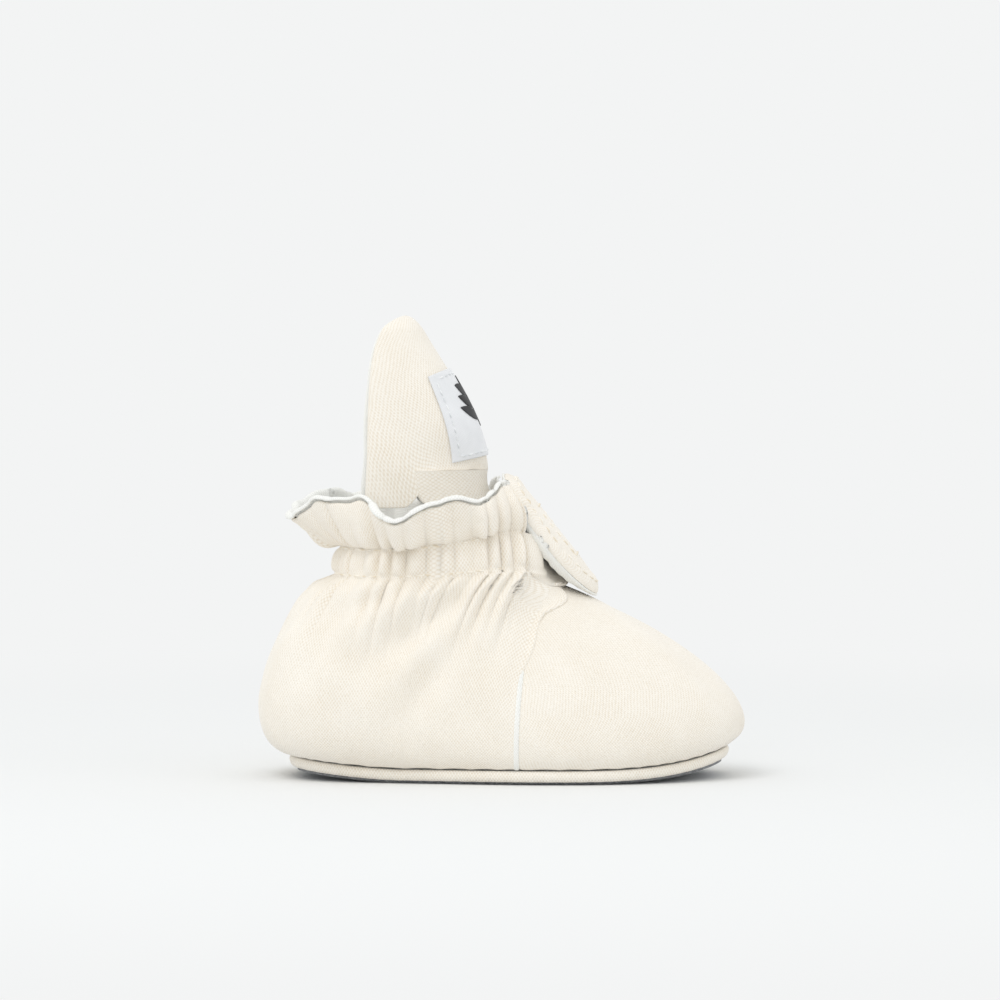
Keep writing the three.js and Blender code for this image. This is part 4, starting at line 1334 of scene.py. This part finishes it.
    def tab_at(self, y: Array, s: Array, side: float) -> Array:
        """Returns points of the tab's pillow, whose two faces meet in a seam round its edge.

        Args:
            y: Places from the far side to the near side.
            s: Places up the slant from the tab's middle.
            side: +1 for the outer face, -1 for the lining.
        """
        end, half = self.tab_round(y), self.tab_half(y)
        power = self.roundness
        edge = ((np.abs(s) / self.half_height) ** power + end**power) ** (1 / power)
        edge = np.clip(np.where(end > 0, edge, np.abs(s) / half), 0, 1)
        section = np.sqrt(1 - edge**4.5)
        rim = bump(edge, 0.86, 0.16) * smoothstep(np.maximum(end, (np.abs(s) / half) ** 2), 0.35, 0.75)
        free = np.clip((self.patch_near - 1 - y) / 4, 0, 1)
        full = self.tab_thickness / 2 + (0.5 if side > 0 else 0.3 + 1.3 * free) * rim
        around = np.arctan2(s, y - 2)
        pucker = (0.14 * np.sin(34 * around) + 0.1 * np.sin(21 * around + 1)) * bump(edge, 0.84, 0.12)
        soft = 0.2 * lumps(self.slanted(s, y, 0 * y), 9.0, 3.0 + side)
        q = self.tab_level - self.bent(y, self.bend) - self.tab_thickness / 2
        return self.slanted(self.tab_s + s, y, q + side * section * (full + soft + pucker))

    def tab_face(self, side: float, lip: float = 0.0) -> Surface:
        """Returns one face of the tab, with its rows close together where it turns in to the seam.

        Args:
            side: +1 for the outer face, -1 for the lining.
            lip: How far its edge stands out past the other face's.
        """

        def surface(u: Array, v: Array) -> Array:
            """Returns points of the face; u runs from the hinge to the end."""
            straight = lerp(self.hinge_y, self.rounding_y, 2 * u)
            curved = lerp(self.rounding_y, self.tab_end_y, np.sin(np.clip(2 * u - 1, 0, 1) * math.pi / 2))
            y = np.where(u < 0.5, straight, curved)
            across = -np.cos(math.pi * v)
            s = self.tab_half(y) * across
            grow = lip * np.maximum(np.abs(across), self.tab_round(y)) ** 12
            p = self.tab_at(y, s, side)
            up = self.slanted(s, 0, 0) - self.slanted(0, 0, 0)
            away = unit(xyz(0, np.minimum(y - self.rounding_y, 0), 0) + up)
            return p + away * grow[:, None]

        return surface

    def tab_lift(self, t: Array) -> Array:
        """Returns which way is off the tab's outer face, for each of some shares."""
        return np.tile(self.slanted(0, 0, 1) - self.slanted(0, 0, 0), (len(t), 1))

    def topstitch(self) -> bpy.types.Object:
        """Sews the row of stitches that follows the tab's edge."""
        keep = 1 - self.topstitch_inset / self.half_height
        straight = self.hinge_y - 0.6 - self.rounding_y
        share = straight / (straight + self.rounding_y - self.tab_end_y)

        def line(t: Array) -> Array:
            """Returns points of the row, from the hinge round the end and back."""
            along = np.abs(2 * t - 1)
            round_part = np.clip(along / (1 - share), 0, 1) * math.pi / 2
            end_y = self.tab_end_y + self.topstitch_inset
            end = self.rounding_y + (end_y - self.rounding_y) * np.cos(round_part)
            y = np.where(along > 1 - share, self.rounding_y + straight * (along - 1 + share) / share, end)
            reach = np.where(along > 1 - share, 1.0, np.sin(round_part))
            s = np.sign(t - 0.5) * keep * self.half_height * reach
            return self.tab_at(y, np.clip(s, -self.tab_half(y) * keep, self.tab_half(y) * keep), 1)

        return Seam(pitch=2.9, length=2.3).sew("tab_topstitch_thread", line, self.tab_lift)

    def box_seam(self) -> bpy.types.Object:
        """Sews the box of stitches that holds the hook patch under the tab."""
        corners = [(-1, -1), (1, -1), (1, 1), (-1, 1), (-1, -1)]
        wide, tall = (self.patch_far - self.patch_near) / 2 + 0.5, self.patch_height / 2 + 0.5

        def line(t: Array) -> Array:
            """Returns points of the box."""
            places = np.linspace(0, 1, 5)
            across, up = (np.interp(t, places, [corner[way] for corner in corners]) for way in (0, 1))
            y = (self.patch_near + self.patch_far) / 2 + wide * across
            s = self.throat_s + self.patch_low + self.patch_height / 2 + tall * up
            return self.tab_at(y, s - self.tab_s, 1)

        return Seam(pitch=2.6, length=2.0).sew("patch_stitching_thread", line, self.tab_lift)

    def build(self) -> None:
        """Makes the underlap, the patches, the tab and its root."""
        underlap = self.underlap()
        levels = stack(self.cloth_outer, self.cloth_lining)
        outer = cloth("front_underlap_outer_cloth", underlap, (70, 60), levels[0], square="r")
        dress(outer, OUTER, "front_underlap_outer")
        inside = part_of(underlap, u=(0, 0.88), v=(0.08, 1))
        lining = cloth("front_underlap_lining_cloth", inside, (40, 36), levels[1])
        dress(lining, LINING, "front_underlap_lining")
        fastener = Kind(FASTENER, "hook_and_loop", held=Held.LAID)
        loop = cloth("loop_patch_cloth", self.patch_surface(self.loop_level), (24, 24), (0, self.patch))
        dress(loop, fastener, "loop_patch")
        hook = cloth("hook_patch_cloth", self.patch_surface(self.hook_level), (24, 24), (0, self.patch))
        dress(hook, fastener, "hook_patch", Body.TAB)

        outer = cloth("tab_outer_cloth", self.tab_face(1), (80, 80), (0.0, self.cloth_outer))
        dress(outer, OUTER, "tab_outer", Body.TAB)
        lining = cloth("tab_lining_cloth", self.tab_face(-1, 0.5), (80, 80), (-self.tab_lining, 0.0))
        dress(lining, LINING, "tab_lining", Body.TAB)
        middle = part_of(self.tab_face(1), u=(0.02, 0.82), v=(0.2, 0.8))
        depth = self.cloth_outer + CLEARANCE
        pad = cloth("tab_pad", middle, (30, 30), (depth, depth + self.tab_padding * 0.8))
        dress(pad, PAD, "tab_padding", Body.TAB)
        dress(self.topstitch(), SEWN, "tab_topstitch", Body.TAB)
        dress(self.box_seam(), SEWN, "patch_stitching", Body.TAB)
        self.build_root()

    def build_root(self) -> None:
        """Makes the far side's corner, which bends with the tab at its fold."""

        def end(v: Array) -> Array:
            """Returns the line where the root meets the tab."""
            y = np.full(len(v), self.hinge_y + 0.1)
            s = self.tab_s + self.root_half_height * (2 * v - 1)
            return self.slanted(s, y, self.tab_level - self.bent(y, self.bend) - 0.2)

        far = self.corner(-1, end, 1.0)
        root = cloth("tab_root_cloth", far, (50, 50), (0, 2.6), square="l")
        start = self.slanted(self.tab_s, self.hinge_y + 4.0, self.tab_level - 2)
        finish = self.slanted(self.tab_s, self.hinge_y - 0.2, self.tab_level - 2)
        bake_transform(root, Body.BOOTIE.value, Body.TAB.value, start=start * MM, end=finish * MM)
        dress(root, OUTER, "tab_root")


@dataclass
class Tongue:
    """The tall tongue: a neck sewn in behind the throat, a fold at the collar, and a hood-shaped top."""

    last: Last
    outer: float = 0.9
    padding: float = 1.3
    lining: float = 0.9
    neck_reach: float = math.radians(45)
    neck_depth: float = 10.0
    collar_half: float = 14.0
    collar_depth: float = 29.8
    wing_from: float = math.radians(52)
    wing_to: float = math.radians(72)
    wing_drop: float = 9.0
    height: float = 37.4
    neck_spread: float = math.radians(66)  # how far round the neck reaches at the collar
    lean: float = 17.4
    tip_depth: float = 4.8
    tip_half: float = 5.0
    tip_from: float = 0.89  # the share of the way up where the tip rounds off

    def __post_init__(self) -> None:
        """Places the tongue's curves from the throat."""
        throat = self.last.ring(np.zeros(1), 0)[0]
        corner = -float(self.last.ring(np.array([self.last.seam_top]), 0)[0, 1])
        self.neck_half = (corner - 1.7) / math.sin(self.neck_reach)
        self.fold = throat + [-16.7, 0, 27.7]
        self.root = throat + [-2.3, 0, -4.1]
        self.tip = self.fold + [-self.lean, 0, self.height]

    def slice_at(self, turn: Array, front: Array, depth: Array, half: Array, up: Array) -> Array:
        """Returns points of a U-shaped slice, turned round from its front."""
        behind = 1 - np.cos(turn)
        return xyz(front[:, 0] - depth * behind, -half * np.sin(turn), front[:, 2] + up)

    def neck(self, u: Array, v: Array) -> Array:
        """Returns points of the tongue's lower part."""
        front = bezier(self.root, self.root + [-0.7, 0, 7.8], self.fold + [-2.3, 0, -9], self.fold, v)
        turn = lerp(self.neck_reach, self.neck_spread, smoothstep(v, 0.35, 0.8)) * (2 * u - 1)
        depth = lerp(self.neck_depth, self.collar_depth, smoothstep(v, 0.1, 0.82))
        return self.slice_at(turn, front, depth, lerp(self.neck_half, self.collar_half, v), 0 * u)

    def top(self, u: Array, v: Array) -> Array:
        """Returns points of the tongue's upper part, rounded off at its tip."""
        start = self.fold + [-0.2, 0, 0.3 * self.height]
        front = bezier(self.fold, start, self.tip + [6.2, 0, -0.33 * self.height], self.tip, np.clip(v, 0, 1))
        tip = np.clip((v - self.tip_from) / (1 - self.tip_from), 0, 1)
        close = np.sqrt(np.clip(1 - tip**2, 0.01, 1))
        front = front + xyz(-2.3 * (1 - close), 0, 0)
        turn = math.pi * (u - 0.5)
        narrow = np.sqrt(np.clip(1 - v**2.6, 0, 1))
        wing = smoothstep(np.abs(turn), self.wing_from, self.wing_to) * np.clip(1 - v, 0, 1) ** 4
        depth = lerp(self.tip_depth, self.collar_depth, np.clip(1 - v**1.5, 0, 1) ** 0.8) * close
        half = lerp(self.tip_half, self.collar_half, narrow) * close
        up = 0.8 * v**2 * (1 - np.cos(turn)) * close - self.wing_drop * wing
        p = self.slice_at(turn, front, depth, half, up)
        tight = 0.9 * bump(p[:, 2], self.fold[2] + 2, 6) * bump(np.abs(turn), 0.75, 0.4)
        waist = np.clip(p[:, 1] / 4, -1, 1) * tight
        fold = -0.9 * bump(np.abs(turn), 0.42, 0.14) * bump(v, 0.0, 0.06)
        soft = 0.28 * lumps(p, 15.0, 4.0) * smoothstep(v, 0.0, 0.1)
        out = unit(xyz(np.cos(turn), -np.sin(turn), 0))
        return p - xyz(0, waist, 0) + out * (fold + soft)[:, None]

    def close_rows(self, u: Array, v: Array) -> Array:
        """Returns points of the upper part with its rows closer together towards the tip."""
        return self.top(u, 1 - (1 - v) ** 1.6)

    def laid_thin(self, surface: Surface, u: Array, v: Array, depth: Array) -> Array:
        """Returns points moved level off the top, whose layers press together towards its tip."""
        return laid_level(surface, u, v, depth * (1 - 0.78 * smoothstep(v, 0.7, 0.98)))

    def build(self) -> None:
        """Makes the neck, which bends at the fold, and the top, which turns with the joint."""
        levels = stack(self.outer, self.padding, self.lining)
        kinds = (("outer", OUTER, 1.0), ("padding", PAD, 0.9), ("lining", LINING, 1.0))
        for (name, kind, reach), level in zip(kinds, levels):
            held = (1 - reach) / 2
            steps = (90, 70) if name != "padding" else (40, 30)
            rim = 0.012 if name == "lining" else 0.0
            cut = part_of(self.close_rows, u=(held - rim, 1 - held + rim), v=(held / 4, 1 - held))
            shape = {"move": self.laid_thin, "square": "b", "tapered": True}
            top = cloth(f"tongue_upper_{name}_cloth", cut, steps, level, **shape)
            dress(top, kind, f"tongue_upper_{name}", Body.TONGUE)
            cut = part_of(self.neck, u=(held, 1 - held), v=(held, 1))
            squares = steps[0] // 2, steps[1] // 2
            neck = cloth(f"tongue_lower_{name}_cloth", cut, squares, level, move=laid_level, square="t")
            low, high = self.fold + [0, 0, -14], self.fold + [0, 0, -0.5]
            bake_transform(neck, Body.BOOTIE.value, Body.TONGUE.value, start=low * MM, end=high * MM)
            dress(neck, kind, f"tongue_lower_{name}")


@dataclass
class Label:
    """The woven label on the tongue's front: a stitched border and a sprig of leaves."""

    tongue: Tongue
    low: float = 0.1
    high: float = 0.66
    half_angle: float = math.radians(45)
    droop: float = 0.05
    thickness: float = 0.5
    stitch_inset: float = 0.12

    def ground(self, u: Array, v: Array) -> Array:
        """Returns the tongue's front under the label, u across and v up."""
        across = 2 * u - 1
        share = self.half_angle / math.pi
        return self.tongue.top(0.5 + share * across, lerp(self.low, self.high, v) - self.droop * across**2)

    def border(self) -> bpy.types.Object:
        """Sews the row of stitches round the label."""
        places, keep = np.linspace(0, 1, 5), 1 - self.stitch_inset

        def at(t: Array) -> tuple[Array, Array]:
            """Returns the row's shares across and up the label."""
            across = np.interp(t, places, [-1, 1, 1, -1, -1])
            up = np.interp(t, places, [-1, -1, 1, 1, -1])
            return 0.5 + 0.5 * across * keep, 0.5 + 0.5 * up * keep

        def line(t: Array) -> Array:
            """Returns points of the row."""
            return laid(self.ground, *at(t), np.full(len(t), -self.thickness - 0.1))

        def lift(t: Array) -> Array:
            """Returns which way is off the label."""
            return -normal(self.ground, *at(t))

        return Seam(pitch=1.9, length=1.5, radius=0.16, sink=0.02).sew("label_stitching_thread", line, lift)

    def leaf(self, root: tuple[float, float], turn: float, length: float, width: float) -> Surface:
        """Returns one leaf, in shares across and up the label, pointed at both ends."""

        def surface(u: Array, v: Array) -> Array:
            """Returns points of the leaf: v along it and u across it."""
            half = width * np.sin(math.pi * np.clip(v, 0.02, 0.98)) ** 0.8 * (1 - 0.25 * v)
            along, across = v * length, (2 * u - 1) * half
            x = root[0] + along * math.sin(turn) + across * math.cos(turn)
            y = root[1] + along * math.cos(turn) - across * math.sin(turn)
            return self.ground(0.5 + x, 0.5 + y)

        return surface

    def build(self) -> None:
        """Makes the label, its border and its sprig."""
        wide = cloth("woven_label_cloth", self.ground, (60, 60), (-self.thickness - 0.1, -0.1))
        dress(wide, Kind(LABEL_SATIN, "label_satin", held=Held.LAID), "woven_label", Body.TONGUE)
        white = Kind(WHITE_THREAD, "white_thread")
        dress(self.border(), white, "label_stitching", Body.TONGUE)
        leaves = [self.leaf((0.0, -0.16), 0.0, 0.52, 0.018)]
        for i, height in enumerate((-0.08, 0.06, 0.2)):
            for side in (-1, 1):
                leaves.append(self.leaf((0.0, height), side * 1.05, 0.34 - 0.05 * i, 0.075))
        leaves.append(self.leaf((0.0, 0.24), 0.0, 0.17, 0.05))
        depths = (-self.thickness - 0.32, -self.thickness - 0.12)
        parts = [cloth(f"leaf_{i}", leaf, (10, 18), depths) for i, leaf in enumerate(leaves)]
        bm = bmesh.new()
        for part in parts:
            bm.from_mesh(part.data)
            bpy.data.objects.remove(part)
        sprig = object_of("label_motif_thread", bm)
        dress(sprig, Kind(MOTIF_THREAD, "motif_thread"), "label_motif", Body.TONGUE)


@dataclass
class Studio:
    """A pale sweep, a wide soft key light from the upper left, and a long lens at the side."""

    grey: str = "#F3F4F4"
    paper: str = "#ECEDED"
    distance: float = 1.2
    elevation: float = math.radians(2.5)
    aim: tuple[float, float, float] = (-0.0005, 0.0, 0.0674)
    lens: float = 176.7
    near_floor: float = 0.12  # the floor takes shadows inside this and fades to the sweep past it
    far_floor: float = 0.42

    def sweep(self) -> None:
        """Lays the floor."""
        bm = bmesh.new()
        bmesh.ops.create_circle(bm, cap_ends=True, segments=96, radius=6.0)
        floor = object_of("studio_floor", bm)
        material = bpy.data.materials.new("matt studio paper")
        material.use_nodes = True
        tree = material.node_tree
        tree.nodes.clear()
        place = add_node(tree, "ShaderNodeTexCoord")
        far = add_node(tree, "ShaderNodeVectorMath", {0: place.outputs["Object"]}, operation="LENGTH")
        fade = add_node(
            tree,
            "ShaderNodeMapRange",
            {"Value": far.outputs["Value"], "From Min": self.near_floor, "From Max": self.far_floor},
            interpolation_type="SMOOTHSTEP",
        )
        paper = add_node(tree, "ShaderNodeBsdfDiffuse", {"Color": linear(self.paper)})
        glow = add_node(tree, "ShaderNodeEmission", {"Color": linear(self.grey), "Strength": 1.0})
        mixed = add_node(
            tree, "ShaderNodeMixShader", {0: fade.outputs[0], 1: paper.outputs[0], 2: glow.outputs[0]}
        )
        output = add_node(tree, "ShaderNodeOutputMaterial")
        tree.links.new(mixed.outputs[0], output.inputs[0])
        floor.data.materials.append(material)

    def light(self) -> None:
        """Hangs the lights and sets the sky."""
        world = bpy.data.worlds.new("studio")
        world.use_nodes = True
        background = world.node_tree.nodes["Background"]
        background.inputs[0].default_value = linear(self.grey)
        background.inputs[1].default_value = 1.0
        bpy.context.scene.world = world
        for name, place, size, power in (
            ("key", (-0.42, -0.62, 1.12), 0.7, 4.0),
            ("fill", (0.9, -0.5, 0.5), 0.8, 0.5),
        ):
            lamp = bpy.data.lights.new(name, "AREA")
            lamp.size, lamp.energy = size, power
            obj = bpy.data.objects.new(name, lamp)
            obj.location = place
            obj.rotation_euler = (Vector((0, 0, 0.05)) - Vector(place)).to_track_quat("-Z", "Y").to_euler()
            bpy.context.scene.collection.objects.link(obj)

    def camera(self) -> None:
        """Stands the camera at the side, a little above the bootie."""
        lens = bpy.data.cameras.new("camera")
        lens.lens, lens.sensor_width, lens.clip_start = self.lens, 36.0, 0.01
        obj = bpy.data.objects.new("camera", lens)
        back = Vector((0, -math.cos(self.elevation), math.sin(self.elevation)))
        obj.location = Vector(self.aim) + back * self.distance
        obj.rotation_euler = (-back).to_track_quat("-Z", "Y").to_euler()
        bpy.context.scene.collection.objects.link(obj)
        bpy.context.scene.camera = obj

    def build(self) -> None:
        """Sets up the studio."""
        bpy.context.scene.view_settings.view_transform = "Standard"
        self.camera()
        self.light()
        self.sweep()


def main() -> None:
    """Builds the bootie from the sole up."""
    logging.basicConfig(level=logging.INFO, format="%(message)s")
    last = Last()
    gathers = Gathers(last)
    Studio().build()
    Sole(last).build()
    Upper(last, gathers).build()
    AnkleBand(last, gathers).build()
    Ruffle(last, gathers).build()
    Closure(last, gathers).build()
    tongue = Tongue(last)
    tongue.build()
    Label(tongue).build()


if __name__ == "__main__":
    main()
